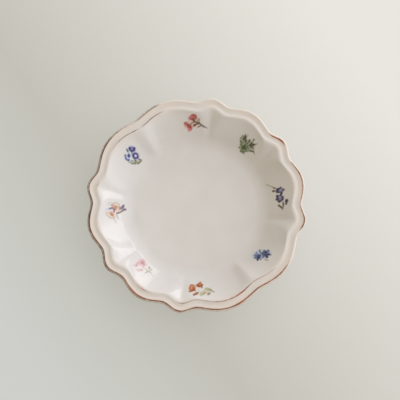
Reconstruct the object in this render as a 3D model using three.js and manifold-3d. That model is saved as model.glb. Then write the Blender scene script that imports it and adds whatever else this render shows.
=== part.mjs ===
// Dessert plate with a waved rim, fluted wall, painted edge lines and eight small flower sprigs.
// Millimetres, +Z up. The foot ring stands on z = 0, the plate's axis is Z,
// and the two notches of the rim lie on the Y axis.
import * as THREE from 'three';
import { mergeVertices } from 'three/addons/utils/BufferGeometryUtils.js';
import Module from 'manifold-3d';

const wasm = await Module();
wasm.setup();

// Plan of the rim. Angles are in degrees.
const RIM_SPAN = 214; // over the glaze, across two opposite tips of the rim
const RIM_WAVE = 2.4; // how far tips and lobes stand out from the mean rim, and troughs stand in
const PANELS = 8; // wall panels, with a pointed tip or a notch on each line between two
const LINES_PER_NOTCH = 4; // every fourth line is a notch, the others are tips
const TIP_ANGLE_RIM = 9.5; // from a tip to the troughs beside it, at the rim
const TIP_ANGLE_WELL = 4; // the same where the flute below the tip dies out
const LOBE_LEAN = 4; // by how much a lobe beside a notch leans towards it
const TIP_SOFTENING = 4; // how late the sharp creases of the wall soften towards the rim
const LOBE_FULLNESS = 0.8; // below 1, lobes are broad and the troughs beside them sharp
const NOTCH_FULLNESS = 0.4; // the same beside a notch, low on the wall, where it is a narrow rib
const FLUTE_SET = 4; // the flutes die out this far outside the flat well
const FLUTE_FADE = 1.25; // above 1, the flutes die out faster low on the wall
const NOTCH_FADE = 0.7; // the same for a notch's rib, which reaches further down
const RIB_DEPTH = 1.8; // how far a notch's rib stands out of the fluted wall
const RIB_ANGLE = 8; // from a notch to the foot of its rib

// Section of the plate
const FOOT_HEIGHT = 2.5;
const FOOT_WIDTH = 3.6;
const FOOT_SET = 2; // the foot's outer wall lies this far outside the flat well
const FOOT_BARE = 0.8; // height of the clay left bare above the table
const FLOOR_THICK = 4;
const WALL_THICK = 4;
const WELL_RADIUS = 59;
const COVE_RADIUS = 22; // from the flat well into the wall
const WALL_SLOPE = 39.5;
const RIM_WIDTH = 9.6; // from the crest of the ridge at the top of the wall out to the edge
const RIDGE_ROUND = 3.6;
const GROOVE_SLOPE = 15; // steepest slope of the groove between ridge and lip
const GROOVE_HOLLOW = 0.38; // share of the groove's width that its curve takes to level out
const LIP_RISE = 0.2; // the lip's crest above the ridge's crest
const LIP_ROUND = 2;

// Coats on the clay, each a hair off what carries it
const GLAZE_THICK = 0.4;
const PAINT_THICK = 0.25;
const TRANSFER_THICK = 0.25;
const SEAT_GAP = 0.02;

// Sprigs are drawn on squared paper, upright as seen with the plate turned by this angle
const SPRIG_SPAN = 25; // across the squared paper
const SPRIG_SQUARES = 25; // squares across it
const SPRIG_TURN = -35.4;
const SPRIG_INSET = 14.5; // from the ridge in to the circle that the sprigs lie along
const PETAL_DEPTH = 0.2; // share of a blossom's radius that the cuts between petals take
const POINTS_PER_PETAL = 3;
const STROKE_STEPS = 2;

// Facets
const STEPS_PER_WAVE = 3; // columns from a crest of the rim's wave to the next trough
const COVE_STEPS = 2;
const WALL_STEPS = 2;
const RIDGE_STEPS = 3;
const GROOVE_STEPS = 2;
const LIP_STEPS = 3;
const LIP_BACK_STEPS = 2;

// Colours and gloss
const CLAY_COLOUR = 0xd9cbb8;
const CLAY_ROUGHNESS = 0.85;
const GLAZE_COLOUR = 0xe9e2da;
const GLAZE_ROUGHNESS = 0.12;
const LINE_COLOUR = 0x8a5a3c;
const PAINT_ROUGHNESS = 0.3;

const RIDGE_RADIUS = RIM_SPAN / 2 - RIM_WAVE - RIM_WIDTH; // mean, as the rim waves
const FLUTE_RADIUS = WELL_RADIUS + FLUTE_SET;
const FLOOR_TOP = FOOT_HEIGHT + FLOOR_THICK;

const rad = THREE.MathUtils.degToRad;
const point = (r, z) => new THREE.Vector2(r, z);
const arc = (centre, radius, from, to) => (
  new THREE.EllipseCurve(centre.x, centre.y, radius, radius, rad(from), rad(to), to < from)
);
const line = (from, to) => new THREE.LineCurve(from, to);

// Section curves of the glazed surface, from the well's edge out over the face and back to the foot
function sectionCurves() {
  const slope = point(Math.cos(rad(WALL_SLOPE)), Math.sin(rad(WALL_SLOPE)));
  const across = point(slope.y, -slope.x);
  const coveCentre = point(WELL_RADIUS, FLOOR_TOP + COVE_RADIUS);
  const wallFoot = coveCentre.clone().addScaledVector(across, COVE_RADIUS);
  const wallTopRadius = RIDGE_RADIUS - RIDGE_ROUND * slope.y;
  const wallLength = (wallTopRadius - wallFoot.x) / slope.x;
  const wallTop = wallFoot.clone().addScaledVector(slope, wallLength);
  const ridgeCentre = wallTop.clone().addScaledVector(across, RIDGE_ROUND);
  const lipCrest = ridgeCentre.y + RIDGE_ROUND + LIP_RISE;
  const lipCentre = point(RIM_SPAN / 2 - RIM_WAVE - LIP_ROUND, lipCrest - LIP_ROUND);

  const ridge = arc(ridgeCentre, RIDGE_ROUND, 90 + WALL_SLOPE, 90 - GROOVE_SLOPE);
  const lip = arc(lipCentre, LIP_ROUND, 90 + GROOVE_SLOPE, 0);
  const grooveStart = ridge.getPoint(1);
  const grooveEnd = lip.getPoint(0);
  const hollow = GROOVE_HOLLOW * grooveStart.distanceTo(grooveEnd);
  const groove = new THREE.CubicBezierCurve(
    grooveStart,
    grooveStart.clone().addScaledVector(ridge.getTangent(1), hollow),
    grooveEnd.clone().addScaledVector(lip.getTangent(0), -hollow),
    grooveEnd,
  );

  const underLip = point(lipCentre.x, lipCentre.y - LIP_ROUND);
  const backTop = wallTop.clone().addScaledVector(across, WALL_THICK);
  const backFoot = wallFoot.clone().addScaledVector(across, WALL_THICK);
  const backBend = backFoot.clone().addScaledVector(slope, (FOOT_HEIGHT - backFoot.y) / slope.y);
  const footTop = point(WELL_RADIUS + FOOT_SET, FOOT_HEIGHT);
  const footInside = footTop.x - FOOT_WIDTH;
  return {
    cove: arc(coveCentre, COVE_RADIUS, -90, WALL_SLOPE - 90),
    wall: line(wallFoot, wallTop),
    ridge,
    groove,
    lip,
    lipUnder: arc(lipCentre, LIP_ROUND, 0, -90),
    rimUnder: line(underLip, backTop),
    backWall: line(backTop, backFoot),
    backCove: new THREE.QuadraticBezierCurve(backFoot, backBend, footTop),
    footOutside: line(footTop, point(footTop.x, FOOT_BARE)),
    footInside: line(point(footInside, FOOT_BARE), point(footInside, FOOT_HEIGHT)),
  };
}

// Share of the way up the fluted wall, by the radius
function flutedRise(radius) {
  const rise = (radius - FLUTE_RADIUS) / (RIDGE_RADIUS - FLUTE_RADIUS);
  return THREE.MathUtils.clamp(rise, 0, 1);
}

// Angle from a place to the nearest notch
function angleFromNotch(angle) {
  const spacing = LINES_PER_NOTCH * 360 / PANELS;
  const past = THREE.MathUtils.euclideanModulo(angle - 90, spacing);
  return Math.min(past, spacing - past);
}

// Share of the rim's wave at a place, which fades down the wall, and less so along a notch's rib
function waveShare(rise, angle) {
  const near = (1 + Math.cos(Math.PI * Math.min(1, 2 * angleFromNotch(angle) * PANELS / 360))) / 2;
  return rise ** THREE.MathUtils.lerp(FLUTE_FADE, NOTCH_FADE, near);
}

// How far a notch's rib stands out of the wall at a place, fading at its sides and both ends
function ribHeight(rise, angle) {
  const side = Math.max(0, 1 - (angleFromNotch(angle) / RIB_ANGLE) ** 2) ** 2;
  const swell = (1 - rise ** 6) * (1 - (1 - rise) ** 4);
  return RIB_DEPTH * side * swell;
}

// Stations along a section curve: place, outward normal, share of the way up the fluted wall,
// and order along the section
let stationCount = 0;
function stations(curve, steps, first = 0) {
  const list = [];
  for (let i = first; i <= steps; i += 1) {
    const place = curve.getPoint(i / steps);
    const along = curve.getTangent(i / steps);
    list.push({
      place,
      normal: point(-along.y, along.x),
      rise: flutedRise(place.x),
      order: stationCount,
    });
    stationCount += 1;
  }
  return list;
}

// Crests and troughs of the rim's wave, round the plate, at some way up the fluted wall
function waveStops(rise) {
  const panel = 360 / PANELS;
  const softness = (rise ** FLUTE_FADE) ** TIP_SOFTENING;
  const tip = THREE.MathUtils.lerp(TIP_ANGLE_WELL, TIP_ANGLE_RIM, softness);
  const isNotch = (k) => k % LINES_PER_NOTCH === 0;
  const stops = [];
  for (let k = 0; k < PANELS; k += 1) {
    const lineAngle = 90 + k * panel;
    if (isNotch(k)) {
      stops.push({ angle: lineAngle, kind: 'notch' });
    } else {
      stops.push({ angle: lineAngle - tip, kind: 'trough' });
      stops.push({ angle: lineAngle, kind: 'tip' });
      stops.push({ angle: lineAngle + tip, kind: 'trough' });
    }
    const lean = (isNotch(k + 1) - isNotch(k)) * LOBE_LEAN;
    stops.push({ angle: lineAngle + panel / 2 + lean, kind: 'lobe' });
  }
  return stops;
}

// Height of the wave, from -1 to 1, at a share of the climb from a trough or notch to a crest.
// On the wall a tip is a sharp crease and a notch a narrow rib, and both soften towards the rim.
function waveHeight(climb, crest, trough, share) {
  const softness = share ** TIP_SOFTENING;
  if (crest.kind === 'tip') {
    return THREE.MathUtils.lerp(2 * climb ** 2 - 1, -Math.cos(Math.PI * climb), softness);
  }
  const low = trough.kind === 'notch' ? NOTCH_FULLNESS : LOBE_FULLNESS;
  return -Math.cos(Math.PI * climb ** THREE.MathUtils.lerp(low, LOBE_FULLNESS, softness));
}

// Ring of points round the plate at a station, moved out along the section's normal
function ring(station, offset) {
  const place = station.place.clone().addScaledVector(station.normal, offset);
  const stops = waveStops(station.rise);
  const points = [];
  stops.forEach((stop, i) => {
    const next = stops[(i + 1) % stops.length];
    const sweep = THREE.MathUtils.euclideanModulo(next.angle - stop.angle, 360);
    const falls = stop.kind === 'tip' || stop.kind === 'lobe';
    for (let step = 0; step < STEPS_PER_WAVE; step += 1) {
      const part = step / STEPS_PER_WAVE;
      const angle = stop.angle + sweep * part;
      const share = waveShare(station.rise, angle);
      const height = falls
        ? waveHeight(1 - part, stop, next, share)
        : waveHeight(part, next, stop, share);
      const radius = place.x + RIM_WAVE * share * height - ribHeight(station.rise, angle);
      points.push(new THREE.Vector3(
        radius * Math.cos(rad(angle)),
        radius * Math.sin(rad(angle)),
        place.y,
      ));
    }
  });
  return { points, order: station.order };
}

// A ring of no radius, where the section meets the axis
function axisPoint(height) {
  return { points: [new THREE.Vector3(0, 0, height)], order: -1 };
}

// Skin between two rings. Quads are split by the section's order, so that coats and clay share
// the same facets and nest into each other.
function stitch(a, b, triangles) {
  const count = Math.max(a.points.length, b.points.length);
  for (let j = 0; j < count; j += 1) {
    const k = (j + 1) % count;
    if (a.points.length === 1) {
      triangles.push(a.points[0], b.points[j], b.points[k]);
    } else if (b.points.length === 1) {
      triangles.push(a.points[j], b.points[0], a.points[k]);
    } else if (a.order <= b.order) {
      triangles.push(a.points[j], b.points[j], a.points[k]);
      triangles.push(a.points[k], b.points[j], b.points[k]);
    } else {
      triangles.push(a.points[j], b.points[j], b.points[k]);
      triangles.push(a.points[j], b.points[k], a.points[k]);
    }
  }
}

// Closed skin over rings that run clockwise round the section, from axis to axis or in a loop
function skin(rings) {
  const triangles = [];
  const onAxis = rings[0].points.length === 1;
  const last = onAxis ? rings.length - 1 : rings.length;
  for (let i = 0; i < last; i += 1) {
    stitch(rings[i], rings[(i + 1) % rings.length], triangles);
  }
  return mergeVertices(new THREE.BufferGeometry().setFromPoints(triangles));
}

// Coat over some stations, between two offsets from the glazed surface
function coat(list, low, high) {
  const top = list.map((station) => ring(station, high));
  const bottom = list.map((station) => ring(station, low)).reverse();
  return skin([...top, ...bottom]);
}

// Stations of the whole section
const curves = sectionCurves();
const wallStations = [
  ...stations(curves.cove, COVE_STEPS),
  ...stations(curves.wall, WALL_STEPS, 1),
];
const ridgeStations = stations(curves.ridge, RIDGE_STEPS, 1);
const grooveStations = stations(curves.groove, GROOVE_STEPS, 1);
const lipStations = stations(curves.lip, LIP_STEPS, 1);
const faceStations = [...wallStations, ...ridgeStations, ...grooveStations, ...lipStations];
const gapShare = SEAT_GAP / (LIP_ROUND * Math.PI / 2);
const lipGap = { ...lipStations.at(-1), place: curves.lipUnder.getPoint(gapShare) };
const backStations = [
  ...stations(curves.lipUnder, LIP_BACK_STEPS, 1),
  ...stations(curves.rimUnder, 1, 1),
  ...stations(curves.backWall, 1, 1),
  ...stations(curves.backCove, COVE_STEPS, 1),
];
const footOutside = stations(curves.footOutside, 1);
const footInside = stations(curves.footInside, 1);

// Stations at the foot's two inner corners, where an offset moves both walls
const outsideCorner = { ...backStations.at(-1), normal: point(1, -1) };
const insideCorner = { ...footInside[1], normal: point(-1, -1) };

// Fired clay from the well's centre over the lip to the foot, one glaze coat inside the surface
function clayBody() {
  const inset = -GLAZE_THICK - SEAT_GAP;
  const onTable = (station) => {
    const loop = ring(station, inset);
    loop.points.forEach((p) => p.setZ(0));
    return loop;
  };
  return skin([
    axisPoint(FLOOR_TOP + inset),
    ...faceStations.map((station) => ring(station, inset)),
    ...backStations.slice(0, -1).map((station) => ring(station, inset)),
    ring(outsideCorner, inset),
    onTable(footOutside[1]),
    onTable(footInside[0]),
    ring(insideCorner, inset),
    axisPoint(FOOT_HEIGHT - inset),
  ]);
}

// Glaze over the well, wall, groove and the upper half of the lip
function faceGlaze() {
  return skin([
    axisPoint(FLOOR_TOP),
    ...faceStations.map((station) => ring(station, 0)),
    ...faceStations.map((station) => ring(station, -GLAZE_THICK)).reverse(),
    axisPoint(FLOOR_TOP - GLAZE_THICK),
  ]);
}

// Glaze under the lip, over the back of the wall and down the foot's outer wall
function backGlaze() {
  return coat([lipGap, ...backStations.slice(0, -1), outsideCorner, footOutside[1]], -GLAZE_THICK, 0);
}

// Glaze inside the foot ring, down its inner wall and over the underside of the well
function undersideGlaze() {
  return skin([
    ring(footInside[0], 0),
    ring(insideCorner, 0),
    axisPoint(FOOT_HEIGHT),
    axisPoint(FOOT_HEIGHT + GLAZE_THICK),
    ring(insideCorner, -GLAZE_THICK),
    ring(footInside[0], -GLAZE_THICK),
  ]);
}

// Blossom of a sprig: a round outline with petals cut into it
function blossom(x, y, radius, petals) {
  const count = petals * POINTS_PER_PETAL;
  const points = [];
  for (let i = 0; i < count; i += 1) {
    const angle = (i / count) * 2 * Math.PI;
    const cut = (1 - Math.cos(petals * angle)) / 2;
    const reach = radius * (1 - PETAL_DEPTH * cut);
    points.push(point(x + reach * Math.cos(angle), y + reach * Math.sin(angle)));
  }
  return new THREE.Shape(points);
}

// Leaf, bud or stem of a sprig: a slim outline, widest in the middle and pointed at both ends
function leaf(x, y, toX, toY, width) {
  const side = point(y - toY, toX - x).setLength(width);
  const middle = point(x, y).lerp(point(toX, toY), 0.5);
  const shape = new THREE.Shape();
  shape.moveTo(x, y);
  shape.quadraticCurveTo(middle.x - side.x, middle.y - side.y, toX, toY);
  shape.quadraticCurveTo(middle.x + side.x, middle.y + side.y, x, y);
  return shape;
}

// The eight sprigs. Each is drawn in plan about its own centre, in squares, x to the right and y up.
// That centre lies at an angle round the plate, some squares outside the sprigs' circle.
const SPRIGS = [
  {
    name: 'sprig_coral',
    colour: 0xc0504d,
    angle: 55.2,
    outside: 3,
    drawing: [
      blossom(-2.5, 3.5, 4.2, 5),
      blossom(-7.5, -4, 5, 5),
      leaf(12.5, -5, 1, 0, 2),
      leaf(4.5, -1.5, -4, 3.5, 2),
      leaf(3.5, -1, -7, -4, 2),
      leaf(-1.5, -4.5, 3.5, -1.5, 2.8),
    ],
  },
  {
    name: 'sprig_green',
    colour: 0x5c6b35,
    angle: 15.3,
    outside: 0,
    drawing: [
      blossom(-3, 5.5, 3.6, 5),
      blossom(-4, -2, 4.5, 5),
      blossom(3.5, -1.5, 4, 6),
      leaf(3.5, -1, 9.5, -1.5, 2),
      leaf(3.5, -1, 5.5, 4, 2),
      leaf(2.5, -1, 1.5, 4.5, 2),
      leaf(3.5, -1.5, 7, -9, 2.4),
      leaf(-4, -2.5, -8.5, -2.5, 2),
      leaf(-4, -3, -4, -9, 2.4),
      leaf(-3, 5.5, 0, 8.5, 1.8),
      leaf(-3, 6, -4, -3, 3),
      leaf(-5, -2, 4, -1.5, 3),
    ],
  },
  {
    name: 'sprig_violet',
    colour: 0x40396b,
    angle: -28.5,
    outside: 2,
    drawing: [
      blossom(0.5, 5, 4.2, 5),
      blossom(-0.5, -2.5, 4.6, 5),
      leaf(-1.5, 5, -7.5, 5.5, 1.8),
      leaf(-1, 5, -12.5, 12.5, 1.2),
      leaf(0, -3, 2.5, -13, 1.6),
      leaf(5.5, -4.5, 5, -10, 2.6),
      leaf(2, -11, 6, -6.5, 1.4),
      leaf(2.5, -12.5, -1.5, -10, 1.8),
    ],
  },
  {
    name: 'sprig_cobalt',
    colour: 0x3b4d8c,
    angle: -72.5,
    outside: -1,
    drawing: [
      blossom(-3.5, -1, 4.1, 6),
      blossom(4, 0.5, 4.1, 6),
      blossom(0.5, 0, 2.5, 5),
      leaf(-1.5, 0, -1.5, 5.5, 1.8),
      leaf(4.5, -0.5, 4, -6.5, 1.8),
      leaf(5, 0.5, 8.5, -0.5, 1.8),
    ],
  },
  {
    name: 'sprig_orange',
    colour: 0xb5622f,
    angle: -124,
    outside: 0,
    drawing: [
      blossom(-6.5, 0, 4, 5),
      blossom(1, 3.5, 3.4, 3),
      leaf(-6, -7.5, 1, -4, 2.2),
      leaf(-1, -3, 5, -7, 2.4),
      leaf(3, -4, 9.5, 0.5, 2.4),
      leaf(3, -4, 12.5, -2.5, 2.2),
      leaf(3, -4, 11, -7, 2.2),
      leaf(-6.5, -0.5, 5, -4.5, 1.4),
      leaf(1, 3, 4.5, -5, 1.4),
    ],
  },
  {
    name: 'sprig_pink',
    colour: 0xd9a3ab,
    angle: -166.3,
    outside: -1.5,
    drawing: [
      blossom(-0.5, 4, 4.2, 5),
      blossom(-6.5, 0, 2.7, 4),
      blossom(-3.5, -4, 2.7, 4),
      leaf(-6.5, 0, -3.5, -4, 1.6),
      leaf(-1, 3, 5, -5, 1.4),
      leaf(-4, -4, 5, -4.5, 1.4),
      leaf(3.5, -4.5, 6.5, 1, 1.8),
      leaf(3, -3.5, 9.5, -10, 1.6),
    ],
  },
  {
    name: 'sprig_peach',
    colour: 0xc9a184,
    angle: 148.9,
    outside: -1.5,
    drawing: [
      blossom(-1.5, 5, 4.4, 5),
      blossom(-3.5, -3.5, 4.6, 5),
      leaf(-2, 3, -8, 2.5, 1.8),
      leaf(2, -0.5, 9.5, 8.5, 2.2),
      leaf(3, 0, 11, 4, 2),
      leaf(-3, -3, 7, 2.5, 2),
      leaf(-2, 4.5, 5, 0, 2),
      leaf(-3, -3.5, 3, -6.5, 2),
      leaf(-3.5, -4, 0, -10, 1.6),
    ],
  },
  {
    name: 'sprig_blue',
    colour: 0x4a4f96,
    angle: 105.6,
    outside: -1,
    drawing: [
      blossom(-1, 6, 3.4, 3),
      blossom(2.5, 0.5, 4, 6),
      blossom(-5.5, -1, 3.6, 6),
      leaf(0.5, 3, -6, 4, 1.6),
      leaf(2, 0, 4, -6.5, 1.4),
      leaf(3, -5.5, 7.5, -2, 1.8),
      leaf(4.5, -5.5, -1, -7, 1.8),
      leaf(-1.5, 6.5, 2.5, 0, 2),
      leaf(-6, -1, 3, 0.5, 1.6),
    ],
  },
];

function solidOf(geometry) {
  geometry.deleteAttribute('normal');
  geometry.deleteAttribute('uv');
  const merged = mergeVertices(geometry);
  return new wasm.Manifold(new wasm.Mesh({
    numProp: 3,
    vertProperties: merged.attributes.position.array,
    triVerts: merged.index.array,
  }));
}

function geometryOf(solid) {
  const mesh = solid.getMesh();
  const geometry = new THREE.BufferGeometry();
  geometry.setAttribute('position', new THREE.BufferAttribute(mesh.vertProperties, 3));
  geometry.setIndex(new THREE.BufferAttribute(mesh.triVerts, 1));
  return geometry;
}

// Thin layer on the glazed well and wall, which the sprigs are cut out of
function transferLayer() {
  const top = SEAT_GAP + TRANSFER_THICK;
  return solidOf(skin([
    axisPoint(FLOOR_TOP + top),
    ...wallStations.map((station) => ring(station, top)),
    ...wallStations.map((station) => ring(station, SEAT_GAP)).reverse(),
    axisPoint(FLOOR_TOP + SEAT_GAP),
  ]));
}

// A sprig's transfer: its drawing, extruded and cut out of the layer
function sprigTransfer(sprig, layer) {
  const square = SPRIG_SPAN / SPRIG_SQUARES;
  const radius = RIDGE_RADIUS - SPRIG_INSET + sprig.outside * square;
  const angle = rad(sprig.angle);
  const place = new THREE.Matrix4()
    .makeTranslation(radius * Math.cos(angle), radius * Math.sin(angle), 0)
    .multiply(new THREE.Matrix4().makeRotationZ(rad(SPRIG_TURN)))
    .multiply(new THREE.Matrix4().makeScale(square, square, 1));
  const extrusion = {
    depth: lipStations[0].place.y,
    curveSegments: STROKE_STEPS,
    bevelEnabled: false,
  };
  const prisms = sprig.drawing.map((shape) => (
    solidOf(new THREE.ExtrudeGeometry(shape, extrusion).applyMatrix4(place))
  ));
  const whole = prisms.reduce((sum, prism) => sum.add(prism));
  return geometryOf(layer.intersect(whole));
}

const plate = new THREE.Group();
function addPiece(name, geometry, color, roughness) {
  const material = new THREE.MeshStandardMaterial({ color, roughness, metalness: 0 });
  const mesh = new THREE.Mesh(geometry, material);
  mesh.name = name;
  plate.add(mesh);
}

addPiece('clay_body', clayBody(), CLAY_COLOUR, CLAY_ROUGHNESS);
addPiece('face_glaze', faceGlaze(), GLAZE_COLOUR, GLAZE_ROUGHNESS);
addPiece('back_glaze', backGlaze(), GLAZE_COLOUR, GLAZE_ROUGHNESS);
addPiece('underside_glaze', undersideGlaze(), GLAZE_COLOUR, GLAZE_ROUGHNESS);

const paintTop = SEAT_GAP + PAINT_THICK;
addPiece('lip_line', coat(lipStations.slice(0, 2), SEAT_GAP, paintTop), LINE_COLOUR, PAINT_ROUGHNESS);
addPiece('ridge_line', coat(ridgeStations.slice(-2), SEAT_GAP, paintTop), LINE_COLOUR, PAINT_ROUGHNESS);

const layer = transferLayer();
for (const sprig of SPRIGS) {
  addPiece(sprig.name, sprigTransfer(sprig, layer), sprig.colour, PAINT_ROUGHNESS);
}

export default plate;
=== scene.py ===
import bisect
import math
from typing import NamedTuple

import bmesh
import bpy
from bpy.props import FloatProperty, FloatVectorProperty, IntProperty, PointerProperty
from mathutils import Color, Matrix, Vector, noise
from mathutils.geometry import intersect_point_line


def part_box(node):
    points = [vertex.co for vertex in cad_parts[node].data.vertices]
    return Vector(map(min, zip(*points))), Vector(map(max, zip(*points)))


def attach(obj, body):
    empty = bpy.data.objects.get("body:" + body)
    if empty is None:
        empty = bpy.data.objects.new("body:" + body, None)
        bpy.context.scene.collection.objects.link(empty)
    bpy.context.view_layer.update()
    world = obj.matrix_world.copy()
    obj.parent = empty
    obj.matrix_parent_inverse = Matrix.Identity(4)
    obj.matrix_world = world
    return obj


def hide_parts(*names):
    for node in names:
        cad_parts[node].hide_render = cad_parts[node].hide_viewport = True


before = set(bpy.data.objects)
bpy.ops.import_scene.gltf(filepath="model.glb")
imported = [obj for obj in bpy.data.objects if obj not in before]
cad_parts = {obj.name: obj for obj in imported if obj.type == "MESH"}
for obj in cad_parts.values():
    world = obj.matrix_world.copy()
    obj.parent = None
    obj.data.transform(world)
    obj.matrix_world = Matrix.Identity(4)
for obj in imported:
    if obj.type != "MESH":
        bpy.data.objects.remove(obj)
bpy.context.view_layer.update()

bl_info = {
    "name": "Dessert plate",
    "version": (1, 0, 0),
    "blender": (4, 5, 0),
    "location": "3D View > Sidebar > Plate",
    "description": "A glazed dessert plate with a waved rim, painted edge lines and flower sprigs",
    "category": "Add Mesh",
}

MM = 0.001
FULL_TURN = 2 * math.pi
RIGHT_ANGLE = math.pi / 2

# Steps along each stretch of the section
WELL_STEPS = 6
COVE_STEPS = 14
WALL_STEPS = 20
RIDGE_STEPS = 10
GROOVE_STEPS = 10
LIP_STEPS = 14
LIP_BACK_STEPS = 10
NECK_STEPS = 10
WALL_BACK_STEPS = 16
HEEL_STEPS = 10
FOOT_STEPS = 3

# The edge lines: steps of what they lie on, and where on the ridge's circle the inner one begins
LINE_ROUND_STEPS = 20
LINE_GROOVE_STEPS = 24
LINE_RIDGE_START = math.radians(110)

# The bends in the back, as shares of the stretches that they round off
NECK_PULL = 0.6
NECK_END = 0.12
HEEL_END = 0.4

# How suddenly a notch's rib dies out towards the ridge and towards the well
RIB_TOP_FADE = 6
RIB_FOOT_FADE = 4

# Limits of the mesh work: points that are one, creases that stay sharp, paint too thin to
# keep, and how often a sprig's height on the wave is worked out again
SAME_POINT = 1e-9
MERGE_DISTANCE = 1e-6
SHARP_ANGLE = math.radians(40)
BARE_COVER = 0.01
DRAPE_ROUNDS = 5

# Unevenness of the edge lines: how fine each kind is, and how much of it there is
SLOW_SWAY = 9
SLOW_SWAY_SHARE = 0.4
QUICK_SWAY = 31
QUICK_SWAY_SHARE = 0.2
LINE_GRAIN = 60
LINE_FLECK = 90
LINE_COVER = 1.2
LINE_GRAIN_COVER = 0.6

# How rough each finish is
GLAZE_ROUGHNESS = 0.08
PAINT_ROUGHNESS = 0.12
CLAY_ROUGHNESS = 0.85
FLOOR_ROUGHNESS = 0.8

# Where the glaze runs thin, from the ridge outwards, and how thin it gets
THIN_START = -4 * MM
THIN_END = 6 * MM
THIN_SHARE = 0.8

# Swells in the glaze and grain in the clay
SWELL_SCALE = 30
SWELL_DETAIL = 1
SWELL_STRENGTH = 0.2
SWELL_HEIGHT = 0.4 * MM
GRAIN_STRENGTH = 0.4
GRAIN_HEIGHT = 0.2 * MM


class Pattern(NamedTuple):
    """A cloudy pattern in a finish, and the tones that its values from low to high give"""

    scale: float
    detail: float
    low: float
    high: float
    low_tone: float
    high_tone: float


GLAZE_CLOUDS = Pattern(scale=45, detail=3, low=0.3, high=0.7, low_tone=0.97, high_tone=1.02)
GLAZE_SPECKS = Pattern(scale=700, detail=1, low=0.72, high=0.8, low_tone=1, high_tone=0.9)
CLAY_GRAIN = Pattern(scale=900, detail=4, low=0.3, high=0.7, low_tone=0.85, high_tone=1.05)


def length(name, description, millimetres):
    """A size that the user may change, given in millimetres and kept in metres."""
    return FloatProperty(
        name=name, description=description, default=millimetres * MM, unit="LENGTH", precision=5
    )


def angle(name, description, degrees):
    """An angle that the user may change, given in degrees and kept in radians."""
    return FloatProperty(
        name=name, description=description, default=math.radians(degrees), subtype="ANGLE"
    )


def share(name, description, value):
    """A plain number that the user may change."""
    return FloatProperty(name=name, description=description, default=value, precision=3)


def colour(name, description, *display):
    """A colour that the user may change, given as red, green and blue of a screen, 0 to 255."""
    plain = Color([value / 255 for value in display]).from_srgb_to_scene_linear()
    return FloatVectorProperty(
        name=name, description=description, default=plain, subtype="COLOR", size=3, min=0, max=1
    )


def share_colour(name, description, *value):
    """A light's colour that the user may change, in plain shares of red, green and blue."""
    return FloatVectorProperty(
        name=name, description=description, default=value, subtype="COLOR", size=3, min=0
    )


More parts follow.
